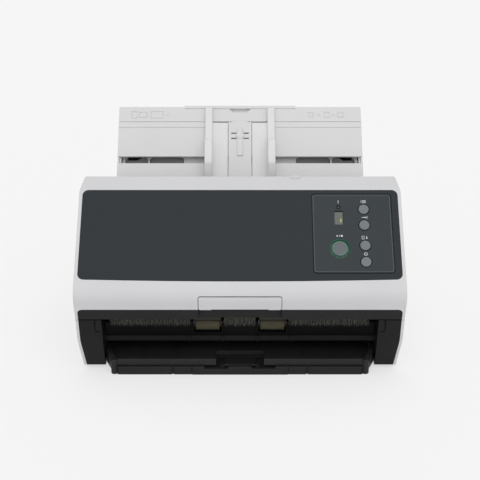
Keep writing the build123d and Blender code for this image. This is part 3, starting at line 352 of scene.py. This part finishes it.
def boardLaminate():
    # circuit boards: green solder mask over copper tracks, which stand slightly proud
    material, tree, shader, coords = newMaterial("solder-masked laminate")
    turned = addNode(
        tree, "ShaderNodeMapping", {"Rotation": (math.radians(90), 0, 0)}, {"Vector": coords}
    ).outputs["Vector"]
    tracks = addNode(
        tree,
        "ShaderNodeTexBrick",
        {
            "Scale": 1.0, "Mortar Size": 0.6 * mm, "Brick Width": 11 * mm,
            "Row Height": 2.4 * mm,
        },
        {"Vector": turned},
    ).outputs["Fac"]
    tree.links.new(blend(tree, tracks, "1E5A38", "2F7A4E"), shader.inputs["Base Color"])
    gloss = spread(tree, noise(tree, coords, 4, 3), 0.25, 0.38)
    tree.links.new(gloss, shader.inputs["Roughness"])
    bump = addNode(
        tree, "ShaderNodeBump", {"Strength": 0.5, "Distance": 0.04 * mm}, {"Height": tracks}
    )
    tree.links.new(bump.outputs["Normal"], shader.inputs["Normal"])
    return material


materials["green polycarbonate light guide"] = ringPolycarbonate()
materials["smoked acrylic window"] = smokedAcrylic()
materials["diffused epoxy lens"] = lampLens()
materials["lit display bar"] = litBar()
materials["polished float glass"] = floatGlass()
materials["solder-masked laminate"] = boardLaminate()
print("materials made:", len(materials))

finishes = {
    "moulded white ABS": [
        "adf_cover", "cover_lever", "left_side_cover", "right_side_cover", "rear_cover",
    ],
    "moulded chute ABS": ["chute_plate", "chute_frame", "chute_extension", "chute_end_extension"],
    "polished guide ABS": ["left_side_guide", "right_side_guide"],
    "charcoal ABS and painted shadow": [
        "upper_front_bezel", "base_pan", "stacker_extension", "stacker_end_extension",
        "stacker_stop",
    ],
    "charcoal ABS with painted light": ["stacker_tray"],
    "charcoal ABS with painted shade": ["front_bezel"],
    "jet ABS with painted shade": ["upper_guide_frame", "lower_guide"],
    "lacquered slate panel": ["front_panel"],
    "printed slate film": ["operator_plate"],
    "moulded grey key ABS": [
        "power_button", "manual_feed_button", "send_button", "function_button",
    ],
    "pearl grey key ABS": ["scan_button"],
    "black nylon and painted shadow": ["upper_sensor", "lower_sensor"],
    "natural acetal": [
        "feed_gears", "idler_gear", "pick_gear", "feed_pulley", "exit_pulley", "guide_pinion",
    ],
    "ground khaki urethane": ["brake_rollers", "feed_rollers", "exit_rollers", "pick_rollers"],
    "moulded olive acetal": ["feed_idlers", "exit_idlers"],
    "black moulded rubber": ["timing_belt", "rubber_feet"],
    "ground steel": ["feed_shaft", "exit_shaft", "pick_shaft", "hinge_pins"],
    "black-passivated sheet": ["bay_deck"],
    "zinc-plated sheet": ["side_frames"],
    "sintered bronze": ["shaft_bushings", "motor_pinion"],
    "dark nickel plate": ["motor"],
    "tin plate": ["connectors"],
    "green polycarbonate light guide": ["scan_button_ring"],
    "smoked acrylic window": ["display_window"],
    "diffused epoxy lens": ["check_lamp"],
    "polished float glass": ["upper_glass", "lower_glass"],
    "solder-masked laminate": ["operator_board", "main_board"],
}
for name, nodeNames in finishes.items():
    for nodeName in nodeNames:
        mesh = nodes[nodeName].data
        mesh.materials.clear()
        mesh.materials.append(materials[name])


# Planes of the front panel and the chute, read from the joints and the nodes' boxes

joints = {joint["name"]: joint for joint in frame["joints"]}


def slopePlane(origin, normal):
    # local X runs across, Y up the slope, Z out of the surface
    normal = Vector(normal).normalized()
    across = Vector((1, 0, 0))
    up = normal.cross(across)
    turn = Matrix((across, up, normal)).transposed().to_4x4()
    return Matrix.Translation(origin) @ turn


panelNormal = -Vector(joints["power_button_press"]["axis"])
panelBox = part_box("front_panel")
panelThickness = 1.5 * mm
panelOrigin = Vector((0, panelBox[0].y, panelBox[0].z + panelThickness * panelNormal.z))
panelPlane = slopePlane(panelOrigin, panelNormal)

chuteNormal = Vector(joints["guide_pinion_spin"]["axis"]).normalized()
pinionPlace = Vector(joints["guide_pinion_spin"]["pos_m"])
pinionUp, pinionOut = 18.25 * mm, -5.0 * mm  # where the guides' pinion sits on the chute's plane
chutePlane = slopePlane(Vector((0, 0, 0)), chuteNormal)
chutePlane.translation = pinionPlace - chutePlane.to_3x3() @ Vector((0, pinionUp, pinionOut))


# Mesh helpers: everything is modelled in millimetres on a plane, then placed

def addBlock(bm, centre, size, turn=0.0, bevel=0.0):
    place = Matrix.Translation(centre) @ Matrix.Rotation(math.radians(turn), 4, "Z")
    made = bmesh.ops.create_cube(bm, size=1.0, matrix=place @ Matrix.Diagonal((*size, 1)))
    if bevel:
        edges = {e for v in made["verts"] for e in v.link_edges}
        bmesh.ops.bevel(
            bm, geom=list(edges), offset=bevel, offset_type="OFFSET", affect="EDGES", segments=2,
            profile=0.5, material=-1, clamp_overlap=True,
        )


def addDisc(bm, centre, radius, height, sides):
    bmesh.ops.create_cone(
        bm, cap_ends=True, segments=sides, radius1=radius, radius2=radius, depth=height,
        matrix=Matrix.Translation(centre),
    )


def addArc(bm, centre, radius, width, height, degrees, start, steps):
    # spins a capped rectangle about its centre, short of a full turn
    place = (
        Matrix.Translation(centre)
        @ Matrix.Rotation(math.radians(start), 4, "Z")
        @ Matrix.Translation((radius, 0, 0))
        @ Matrix.Rotation(math.radians(90), 4, "X")
        @ Matrix.Diagonal((width, height, 1, 1))
        @ Matrix.Rotation(math.radians(45), 4, "Z")
    )
    made = bmesh.ops.create_circle(
        bm, cap_ends=True, segments=4, radius=math.sqrt(0.5), matrix=place
    )
    geom = made["verts"] + list({e for v in made["verts"] for e in v.link_edges})
    geom += list({f for v in made["verts"] for f in v.link_faces})
    bmesh.ops.spin(
        bm, geom=geom, cent=centre, axis=(0, 0, 1), angle=math.radians(degrees), steps=steps
    )


def makePiece(name, bm, plane, material, body):
    # closes the mesh, moves it from its plane to the scanner and makes it ride
    bmesh.ops.remove_doubles(bm, verts=bm.verts, dist=0.0005)
    bmesh.ops.recalc_face_normals(bm, faces=bm.faces)
    bmesh.ops.transform(bm, matrix=plane @ Matrix.Diagonal((mm, mm, mm, 1)), verts=bm.verts)
    mesh = bpy.data.meshes.new(name)
    bm.to_mesh(mesh)
    bm.free()
    mesh.materials.append(materials[material])
    piece = bpy.data.objects.new(name, mesh)
    bpy.context.scene.collection.objects.link(piece)
    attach(piece, body)
    return piece


# The operator plate: light guide, key edge, display, lamp, border and pictograms

toPanel = panelPlane.inverted()


def onPanel(nodeName):
    # a node's middle across and up the panel, half its width and its highest point, in millimetres
    spots = [toPanel @ v.co / mm for v in nodes[nodeName].data.vertices]
    across = [spot.x for spot in spots]
    along = [spot.y for spot in spots]
    middle = ((min(across) + max(across)) / 2, (min(along) + max(along)) / 2)
    return (*middle, (max(across) - min(across)) / 2, max(spot.z for spot in spots))


def lathe(bm, centre, profile, steps=56):
    # spins a closed (radius, height) profile about the panel's normal
    verts = [bm.verts.new((centre[0] + r, centre[1], n)) for r, n in profile]
    edges = [bm.edges.new((a, b)) for a, b in zip(verts, verts[1:] + verts[:1])]
    bmesh.ops.spin(
        bm, geom=verts + edges, cent=(*centre, 0), axis=(0, 0, 1), angle=math.tau, steps=steps,
        use_merge=True,
    )


def makeLightGuide():
    # the ring round the scan key: a dished light guide, so its far side lies in shade
    dish = {
        "foot": -1.5, "rim": 0.3, "rimWidth": 0.35, "floor": -1.15, "floorWidth": 0.5,
        "keyGap": 0.2, "soft": 0.1,
    }
    x, s, outer, _ = onPanel("scan_button_ring")
    inner = onPanel("scan_button")[2] + dish["keyGap"]
    profile = [
        (outer, dish["foot"]),
        (outer, dish["rim"] - dish["soft"]),
        (outer - dish["soft"], dish["rim"]),
        (outer - dish["rimWidth"], dish["rim"]),
        (inner + dish["floorWidth"], dish["floor"]),
        (inner, dish["floor"] + dish["soft"]),
        (inner, dish["foot"]),
    ]
    bm = bmesh.new()
    lathe(bm, (x, s), profile)
    ring = makePiece(
        "scan_light_guide", bm, panelPlane, "green polycarbonate light guide", "adf"
    )
    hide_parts("scan_button_ring")


def makeReflectionRim():
    # the scan key's edge: a clear band over its chamfer, coloured green-grey as a painted
    # reflection of the light guide
    rim = {
        "width": 1.5, "proud": 0.04, "chamfer": 0.5, "skirt": 0.7, "wall": 0.3, "sunk": 0.02,
        "slope": 0.1,
    }
    x, s, radius, top = onPanel("scan_button")
    profile = [
        (radius - rim["width"], top - rim["sunk"]),
        (radius - rim["width"] + rim["slope"], top + rim["proud"]),
        (radius - rim["chamfer"], top + rim["proud"]),
        (radius + rim["proud"], top - rim["chamfer"]),
        (radius + rim["proud"], top - rim["skirt"]),
        (radius - rim["wall"], top - rim["skirt"]),
    ]
    bm = bmesh.new()
    lathe(bm, (x, s), profile)
    makePiece(
        "scan_key_reflection_rim", bm, panelPlane, "key edge with painted green reflection", "scan_button_key"
    )


def makeDisplay():
    # a smoked window sunk in the plate, with one seven-bar digit: two marks lit, the rest dull
    digit = {
        "sink": 1.5, "edge": 0.15, "wide": 3.0, "tall": 5.8, "bar": 0.65, "barGap": 0.9,
        "proud": 0.05, "shift": 0.5, "dot": 0.5, "dotInset": 0.2,
    }
    x, s, half, top = onPanel("display_window")
    spots = [toPanel @ v.co / mm for v in nodes["display_window"].data.vertices]
    length = max(spot.y for spot in spots) - min(spot.y for spot in spots)
    depth = top - min(spot.z for spot in spots)
    surface, thick = top - digit["sink"], depth - digit["sink"]
    glass, dull, lit = bmesh.new(), bmesh.new(), bmesh.new()
    addBlock(glass, (x, s, surface - thick / 2), (2 * half, length, thick), 0, digit["edge"])
    window = makePiece(
        "display_glass", glass, panelPlane, "smoked acrylic window", "adf"
    )
    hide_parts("display_window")
    bar, proud = digit["bar"], digit["proud"]
    z = surface + proud / 2
    x += digit["shift"]
    halfWide, halfTall = digit["wide"] / 2, digit["tall"] / 2
    for k in (-1, 0, 1):
        addBlock(dull, (x, s + k * halfTall, z), (digit["wide"] - digit["barGap"], bar, proud))
    for side in (-1, 1):
        for k in (-1, 1):
            bm = lit if (side, k) == (1, -1) else dull
            place = (x + side * halfWide, s + k * halfTall / 2, z)
            addBlock(bm, place, (bar, halfTall - digit["barGap"], proud))
    dotPlace = (x + halfWide - digit["dotInset"], s - halfTall - digit["dotInset"], z)
    addDisc(lit, dotPlace, digit["dot"], proud, 16)
    makePiece("display_bars", dull, panelPlane, "unlit display bar", "adf")
    makePiece("display_lit_bars", lit, panelPlane, "lit display bar", "adf")


def makeLampCollar():
    # the lamp looks out of a black funnel
    funnel = {
        "outer": 2.1, "proud": 0.12, "gap": 0.1, "outerSlope": 0.1, "innerSlope": 0.35,
        "sunk": 0.02,
    }
    x, s, radius, _ = onPanel("check_lamp")
    surface = onPanel("operator_plate")[3]
    inner = radius + funnel["gap"]
    profile = [
        (funnel["outer"], surface - funnel["sunk"]),
        (funnel["outer"] - funnel["outerSlope"], surface + funnel["proud"]),
        (inner + funnel["innerSlope"], surface + funnel["proud"]),
        (inner, surface - funnel["sunk"]),
    ]
    bm = bmesh.new()
    lathe(bm, (x, s), profile, 32)
    makePiece("lamp_collar", bm, panelPlane, "black nylon and painted shadow", "adf")


def makeHighlightBead():
    # the operator plate's raised border, a fine line just inside its edge, drawn paler than the
    # plate as a painted highlight
    bead = {"inset": 1.15, "width": 0.55, "height": 0.08, "corner": 2.0}
    x, s, half, surface = onPanel("operator_plate")
    along = [(toPanel @ v.co / mm).y for v in nodes["operator_plate"].data.vertices]
    wide, long = 2 * (half - bead["inset"]), max(along) - min(along) - 2 * bead["inset"]
    bm = bmesh.new()
    addBlock(bm, (x, s, surface + bead["height"] / 2), (wide, long, bead["height"]))
    upright = [e for e in bm.edges if e.verts[0].co.xy == e.verts[1].co.xy]
    bmesh.ops.bevel(
        bm, geom=upright, offset=bead["corner"], offset_type="OFFSET", affect="EDGES", segments=6,
        profile=0.5, material=-1,
    )
    bm.normal_update()
    caps = [f for f in bm.faces if abs(f.normal.z) > 0.9]  # the bead's front and back
    bmesh.ops.inset_individual(bm, faces=caps, thickness=bead["width"], use_even_offset=True)
    bmesh.ops.delete(bm, geom=caps, context="FACES_ONLY")
    bmesh.ops.bridge_loops(bm, edges=[e for e in bm.edges if e.is_boundary])
    makePiece("plate_highlight_bead", bm, panelPlane, "slate film edge with painted highlight", "adf")


# Pictograms beside the keys: plain symbols in place of words

legend = {"height": 0.05, "stroke": 0.5, "arrow": 1.05, "dot": 0.35, "ring": 1.4}
pictograms = {
    # lift above the node's edge; bars (across, up, wide, tall, turn);
    # arrowheads (across, up, turn); dots (across, up); broken rings (degrees, start)
    "check_lamp": {"lift": 4.0, "bars": [(0, 0.6, 0.6, 1.7, 0)], "dots": [(0, -0.9)]},  # attention
    "scan_button_ring": {  # go and stop
        "lift": 3.0,
        "bars": [(0, 0, 0.4, 2.2, -20), (2.1, 0, 1.7, 1.7, 0)],
        "arrows": [(-2.1, 0, -90)],
    },
    "function_button": {  # list
        "lift": 3.0,
        "bars": [(0.5, k * 1.05, 3.6, 0.5, 0) for k in (-1, 0, 1)]
        + [(-2.1, k * 1.05, 0.5, 0.5, 0) for k in (-1, 0, 1)],
    },
    "send_button": {  # arrow into a tray
        "lift": 3.0,
        "bars": [(-0.6, 0, 2.8, 0.5, 0), (2.8, 0, 0.5, 2.6, 0)],
        "arrows": [(1.2, 0, -90)],
    },
    "manual_feed_button": {  # a sheet and an arrow down
        "lift": 3.0,
        "bars": [(x, 0, 0.4, 2.8, 0) for x in (-2.7, -0.7)]
        + [(-1.7, s, 2.4, 0.4, 0) for s in (-1.4, 1.4)]
        + [(1.6, 0.7, 0.5, 1.8, 0)],
        "arrows": [(1.6, -0.6, 180)],
    },
    "power_button": {  # broken ring and stroke
        "lift": 3.0, "bars": [(0, 1.0, 0.5, 1.6, 0)], "rings": [(290.0, 125.0)],
    },
}


def makeLegends():
    bm = bmesh.new()
    tall = legend["height"]
    z = onPanel("operator_plate")[3] + tall / 2
    for nodeName, marks in pictograms.items():
        x, s, radius, _ = onPanel(nodeName)
        s += radius + marks["lift"]
        for across, up, wide, high, turn in marks["bars"]:
            addBlock(bm, (x + across, s + up, z), (wide, high, tall), turn)
        for across, up, turn in marks.get("arrows", ()):
            place = Matrix.Translation((x + across, s + up, z))
            bmesh.ops.create_cone(
                bm, cap_ends=True, segments=3, radius1=legend["arrow"], radius2=legend["arrow"],
                depth=tall, matrix=place @ Matrix.Rotation(math.radians(turn), 4, "Z"),
            )
        for across, up in marks.get("dots", ()):
            addDisc(bm, (x + across, s + up, z), legend["dot"], tall, 12)
        for degrees, start in marks.get("rings", ()):
            addArc(bm, (x, s, z), legend["ring"], legend["stroke"], tall, degrees, start, 18)
    makePiece("key_pictograms", bm, panelPlane, "white screen print", "adf")


makeLightGuide()
makeReflectionRim()
makeDisplay()
makeLampCollar()
makeHighlightBead()
makeLegends()
print("operator plate dressed")


# Raised marks on the chute's upper strip: sheet outlines and arrows, moulded in

chuteMarks = {
    "height": 0.25, "line": 0.6, "up": 67.5, "arrow": 2.0, "arrows": (-73, 80, 95),
    "sheets": (  # middle across, wide, tall
        (-107, 5.5, 7.5), (-98, 7.5, 5.5), (-84, 12, 7.5), (72, 5, 4.5), (88, 5, 6), (102, 6, 5),
    ),
}


def makeChuteMarks():
    bm = bmesh.new()
    t, line, height = chuteMarks["up"], chuteMarks["line"], chuteMarks["height"]
    z = height / 2
    for x, wide, tall in chuteMarks["sheets"]:
        for k in (-1, 1):
            addBlock(bm, (x + k * wide / 2, t, z), (line, tall, height))
            addBlock(bm, (x, t + k * tall / 2, z), (wide, line, height))
    for x in chuteMarks["arrows"]:
        bmesh.ops.create_cone(
            bm, cap_ends=True, segments=3, radius1=chuteMarks["arrow"],
            radius2=chuteMarks["arrow"], depth=height,
            matrix=Matrix.Translation((x, t, z)) @ Matrix.Rotation(math.pi, 4, "Z"),
        )
    makePiece("chute_marks", bm, chutePlane, "moulded chute ABS", "chute_slide_1")


# A grey sheet in the chute's rear shell, seen through the gap and the extension's windows, with
# dark pockets in the windows: painted shade on the sheet and painted shadow in the pockets

shadeSheet = {"from": 57.0, "to": 115.5, "low": 9.0, "high": 26.7, "floor": -11.6, "thick": 0.25}
shadowPocket = {"from": 96.5, "to": 113.0, "low": 22.0, "high": 26.5, "slant": 7.5, "proud": 0.03}


def addStrip(bm, strip, side, z):
    # a flat strip on one side of the chute
    middle = ((strip["from"] + strip["to"]) / 2 * side, (strip["low"] + strip["high"]) / 2, z)
    size = (strip["to"] - strip["from"], strip["high"] - strip["low"], shadeSheet["thick"])
    addBlock(bm, middle, size)
    return middle


def makeShadeSheet():
    lined, dark = bmesh.new(), bmesh.new()
    z = shadeSheet["floor"] + shadeSheet["thick"] / 2
    for side in (-1, 1):
        addStrip(lined, shadeSheet, side, z)
        made = len(dark.verts)
        x, t, _ = addStrip(dark, shadowPocket, side, z + shadowPocket["proud"])
        dark.verts.ensure_lookup_table()
        inner = [v for v in dark.verts[made:] if abs(v.co.x) < abs(x) and v.co.y < t]
        bmesh.ops.translate(dark, vec=(shadowPocket["slant"] * side, 0, 0), verts=inner)
    # the grey sheet is painted shade, the black pockets painted shadow
    makePiece("chute_shade_sheet", lined, chutePlane, "mid-grey ABS of painted shade", "base")
    makePiece("chute_shadow_pockets", dark, chutePlane, "black nylon and painted shadow", "base")


makeChuteMarks()
makeShadeSheet()
print("chute dressed")


# Screws: pan heads with a cross recess, on the underside and the back

screwHead = {
    "radius": 3.0, "height": 1.5, "round": 0.8, "slotHalf": 0.38, "slotReach": 1.6, "depth": 0.9,
    "floorScale": 0.7,
}
screwPlaces = {
    "across": (-104, 0, 104), "inset": 24,  # underside
    "backAcross": (-132, 132), "backHigh": (26, 100),
}


def addScrew(bm, place):
    head = bmesh.new()
    height, reach, half = screwHead["height"], screwHead["slotReach"], screwHead["slotHalf"]
    level = height - 0.01  # only the flat top lies above it
    addDisc(head, (0, 0, height / 2), screwHead["radius"], height, 28)
    rim = [e for e in head.edges if all(v.co.z > level for v in e.verts)]
    bmesh.ops.bevel(
        head, geom=rim, offset=screwHead["round"], offset_type="OFFSET", affect="EDGES",
        segments=3, profile=0.5, material=-1,
    )
    for cut in (-reach, -half, half, reach):  # lines that mark the cross out of the flat top
        for normal in ((1, 0, 0), (0, 1, 0)):
            geom = list(head.verts) + list(head.edges) + list(head.faces)
            bmesh.ops.bisect_plane(head, geom=geom, plane_co=Vector(normal) * cut, plane_no=normal)
    cross = []
    for face in head.faces:
        spot = face.calc_center_median()
        near, far = sorted((abs(spot.x), abs(spot.y)))
        if spot.z > level and near < half and far < reach:
            cross.append(face)
    sunk = bmesh.ops.extrude_face_region(head, geom=cross)["geom"]
    bmesh.ops.delete(head, geom=cross, context="FACES_ONLY")
    floor = [v for v in sunk if isinstance(v, bmesh.types.BMVert)]
    bmesh.ops.translate(head, vec=(0, 0, -screwHead["depth"]), verts=floor)
    shrink = screwHead["floorScale"]
    bmesh.ops.scale(head, vec=(shrink, shrink, 1), verts=floor)
    bmesh.ops.transform(head, matrix=place, verts=head.verts)
    mesh = bpy.data.meshes.new("screw head")
    head.to_mesh(mesh)
    head.free()
    bm.from_mesh(mesh)
    bpy.data.meshes.remove(mesh)


def makeScrews(name, places, facing):
    bm = bmesh.new()
    turn = Vector(facing).to_track_quat("Z", "X").to_matrix().to_4x4()
    for place in places:
        addScrew(bm, Matrix.Translation(place) @ turn)
    makePiece(name, bm, Matrix.Identity(4), "dark nickel plate", "base")


def toMm(point):
    return Vector(point) / mm


panLow, panHigh = (toMm(corner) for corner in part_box("base_pan"))
underside = [
    (x, y, panLow.z)
    for x in screwPlaces["across"]
    for y in (panLow.y + screwPlaces["inset"], panHigh.y - screwPlaces["inset"])
]
makeScrews("underside_screws", underside, (0, 0, -1))
rearFace = toMm(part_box("rear_cover")[1]).y
backPlaces = [
    (x, rearFace, z) for x in screwPlaces["backAcross"] for z in screwPlaces["backHigh"]
]
makeScrews("back_screws", backPlaces, (0, 1, 0))
print("screws driven")


# Exit: the discharge brush under the upper guide, and dark lips of painted shadow that close the
# seams of the front bar

noseY = toMm(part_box("adf_cover")[0]).y  # the body's foremost line, in millimetres

brush = {
    "groups": ((-119, -45.5), (-14.5, 14.5), (45.5, 119)),  # clear of the exit's idlers
    "behind": 13.4, "top": 56.2, "foot": 47.0, "holder": 0.9, "edge": 0.2,
    "fold": (0.6, 0.8), "foldInset": 0.5, "foldOut": 0.5, "foldEdge": 0.15,
    "spacing": 0.85, "ahead": 1.2, "ruffle": 0.8, "sway": 1.6, "bends": (0, 0.55, 1),
    "length": (7.0, 10.2), "radius": (0.12, 0.22), "taper": 0.25, "seed": 7,
}


def addTuft(bm, points, radius):
    # a bent, three-sided tuft of fibres, one thin cone for each run between the points
    taper = brush["taper"]
    for k, (upper, lower) in enumerate(zip(points, points[1:])):
        run = lower - upper
        turn = run.to_track_quat("Z", "X").to_matrix().to_4x4()
        bmesh.ops.create_cone(
            bm, cap_ends=True, segments=3, radius1=radius * (1 - taper * k),
            radius2=radius * (1 - taper * (k + 1)), depth=run.length,
            matrix=Matrix.Translation((upper + lower) / 2) @ turn,
        )


def makeBrush():
    # the discharge brush: fibre tufts hanging before a folded holder, drawn thicker than real
    dice = random.Random(brush["seed"])
    tufts, holder = bmesh.new(), bmesh.new()
    y = noseY + brush["behind"]
    top, foot = brush["top"], brush["foot"]
    sway = brush["sway"]
    for low, high in brush["groups"]:
        middle, wide = (low + high) / 2, high - low
        strip = (wide, brush["holder"], top - foot)
        addBlock(holder, (middle, y, (foot + top) / 2), strip, 0, brush["edge"])
        for z in (foot + brush["foldInset"], top - brush["foldInset"]):
            place = (middle, y - brush["foldOut"], z)
            addBlock(holder, place, (wide, *brush["fold"]), 0, brush["foldEdge"])
        for k in range(int(wide / brush["spacing"])):
            x = low + (k + 0.5) * brush["spacing"]
            length = dice.uniform(*brush["length"])
            points = [
                Vector((
                    x + dice.uniform(-sway, sway) * part,
                    y - brush["ahead"] - dice.uniform(0, brush["ruffle"]),
                    top - length * part,
                ))
                for part in brush["bends"]
            ]
            addTuft(tufts, points, dice.uniform(*brush["radius"]))
    place = Matrix.Identity(4)
    # the tufts' pale flecks are painted glints
    makePiece("discharge_brush", tufts, place, "fibre tuft with painted glints", "adf")
    makePiece("brush_holder", holder, place, "charcoal ABS and painted shadow", "adf")


shadowLips = {
    "from": 3.4, "to": 8.2, "foot": 0.4, "top": 8.6, "clear": 0.12,
    "runs": (  # piece, the slide whose ends it stands at, width, body
        ("bar_shadow_lips", "stacker_end_extension", 0.68, "stacker_slide_2"),
        ("post_shadow_lips", "stacker_extension", 1.28, "stacker_slide_1"),
    ),
}


def makeShadowLips():
    # thin dark lips on the bar's ends, painted shadow so that no light floor shows between its
    # sliding pieces
    front, back, foot, top = (shadowLips[key] for key in ("from", "to", "foot", "top"))
    for name, slide, wide, body in shadowLips["runs"]:
        x = toMm(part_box(slide)[1]).x + shadowLips["clear"] + wide / 2
        bm = bmesh.new()
        for side in (-1, 1):
            place = (side * x, noseY + (front + back) / 2, (foot + top) / 2)
            addBlock(bm, place, (wide, back - front, top - foot))
        makePiece(name, bm, Matrix.Identity(4), "charcoal ABS and painted shadow", body)


makeBrush()
makeShadowLips()
print("exit dressed")


# Sockets: contacts and tongues inside the shells

sockets = {
    "network": (-64, 5.2, 53.2), "springs": 8, "pitch": 1.02, "spring": (0.45, 6.0, 0.35),
    "tongue": (-90, 4.9, 49.5), "tongueSize": (5.4, 6.6, 2.9), "tongueEdge": 0.3,
    "pads": (1.2, 4.6, 1.55), "pad": (0.9, 5.6, 0.2),
    "pin": (-112, 4.6, 49.5), "pinRadius": 0.9, "pinLong": 7.4,
}


def makeContacts():
    # each place is across, in from the shells' rear face, and up
    back = toMm(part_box("connectors")[1]).y
    place = Matrix.Identity(4)
    contacts, tongue, pin = bmesh.new(), bmesh.new(), bmesh.new()
    x, inward, z = sockets["network"]
    for k in range(sockets["springs"]):  # network contacts, springs under the roof
        across = x + (k - (sockets["springs"] - 1) / 2) * sockets["pitch"]
        addBlock(contacts, (across, back - inward, z), sockets["spring"])
    x, inward, z = sockets["tongue"]
    addBlock(tongue, (x, back - inward, z), sockets["tongueSize"], 0, sockets["tongueEdge"])
    across, inward, up = sockets["pads"]
    for k in (-1, 1):  # the data tongue's contacts, above and below it
        for row in (-1, 1):
            addBlock(contacts, (x + k * across, back - inward, z + row * up), sockets["pad"])
    x, inward, z = sockets["pin"]
    turn = Matrix.Rotation(math.radians(90), 4, "X")
    bmesh.ops.create_cone(
        pin, cap_ends=True, segments=20, radius1=sockets["pinRadius"],
        radius2=sockets["pinRadius"], depth=sockets["pinLong"],
        matrix=Matrix.Translation((x, back - inward, z)) @ turn,
    )
    makePiece("socket_contacts", contacts, place, "gold flash", "base")
    makePiece("socket_tongue", tongue, place, "black nylon and painted shadow", "base")
    makePiece("power_pin", pin, place, "ground steel", "base")


makeContacts()
print("sockets dressed")


# Studio: pale floor, soft lights, the photograph's camera

studio = {
    "paper": "F6F6F6",
    "ambient": 0.78,
    "sunStrength": 0.75,
    "sunSoftness": 70,
    "sunDirection": (-0.15, 0.45, -1.0),
    "cameraBack": 798.1,
    "cameraHeight": 486.4,
    "pitch": 23.557,
    "lens": 74.69,
    "sensor": 36.0,
    "floorShade": 0.35,  # how much of the object's shadow the floor shows
    "floorHalf": 9.0,
}


def backdropRay(tree):
    # what the camera, a reflection or clear plastic sees, apart from what lights the object
    path = addNode(tree, "ShaderNodeLightPath")
    first = addNode(
        tree, "ShaderNodeMath", {"operation": "MAXIMUM"},
        {0: path.outputs["Is Camera Ray"], 1: path.outputs["Is Glossy Ray"]},
    )
    return addNode(
        tree, "ShaderNodeMath", {"operation": "MAXIMUM"},
        {0: first.outputs[0], 1: path.outputs["Is Transmission Ray"]},
    ).outputs[0]


def makeFloor():
    bm = bmesh.new()
    bmesh.ops.create_grid(bm, x_segments=1, y_segments=1, size=studio["floorHalf"])
    mesh = bpy.data.meshes.new("studio_floor")
    bm.to_mesh(mesh)
    bm.free()
    material, tree, shader, _ = newMaterial("paper floor")
    paper = linearColour(studio["paper"])
    shader.inputs["Base Color"].default_value = paper
    shader.inputs["Roughness"].default_value = 1.0
    shader.inputs["Specular IOR Level"].default_value = 0.0
    glow = addNode(tree, "ShaderNodeEmission", {"Color": paper, "Strength": 1.0})
    share = addNode(
        tree, "ShaderNodeMath", {"operation": "MULTIPLY", 1: 1 - studio["floorShade"]},
        {0: backdropRay(tree)},
    )
    mix = addNode(
        tree, "ShaderNodeMixShader", {},
        {0: share.outputs[0], 1: shader.outputs[0], 2: glow.outputs[0]},
    )
    tree.links.new(mix.outputs[0], tree.nodes["Material Output"].inputs["Surface"])
    mesh.materials.append(material)
    floor = bpy.data.objects.new("studio_floor", mesh)
    bpy.context.scene.collection.objects.link(floor)


def makeWorld():
    world = bpy.data.worlds.new("studio")
    world.use_nodes = True
    tree = world.node_tree
    tree.nodes.clear()
    ambient = addNode(
        tree, "ShaderNodeBackground", {"Color": (1, 1, 1, 1), "Strength": studio["ambient"]}
    )
    paper = addNode(
        tree, "ShaderNodeBackground", {"Color": linearColour(studio["paper"]), "Strength": 1.0}
    )
    mix = addNode(
        tree, "ShaderNodeMixShader", {},
        {0: backdropRay(tree), 1: ambient.outputs[0], 2: paper.outputs[0]},
    )
    output = addNode(tree, "ShaderNodeOutputWorld")
    tree.links.new(mix.outputs[0], output.inputs["Surface"])
    bpy.context.scene.world = world


def makeSun():
    # a very soft lamp: the same level everywhere, so the floor has no falloff
    light = bpy.data.lights.new("overhead softbox", "SUN")
    light.energy = studio["sunStrength"]
    light.angle = math.radians(studio["sunSoftness"])
    lamp = bpy.data.objects.new("overhead softbox", light)
    lamp.rotation_euler = Vector(studio["sunDirection"]).to_track_quat("-Z", "Y").to_euler()
    bpy.context.scene.collection.objects.link(lamp)


def makeCamera():
    # the camera stands straight in front of the body's foremost line
    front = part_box("adf_cover")[0].y
    camera = bpy.data.cameras.new("camera")
    camera.lens = studio["lens"]
    camera.sensor_width = studio["sensor"]
    eye = bpy.data.objects.new("camera", camera)
    eye.location = (0, front - studio["cameraBack"] * mm, studio["cameraHeight"] * mm)
    eye.rotation_euler = (math.radians(90 - studio["pitch"]), 0, 0)
    bpy.context.scene.collection.objects.link(eye)
    bpy.context.scene.camera = eye


makeFloor()
makeWorld()
makeSun()
makeCamera()
bpy.context.scene.view_settings.view_transform = "Standard"
print("studio ready")
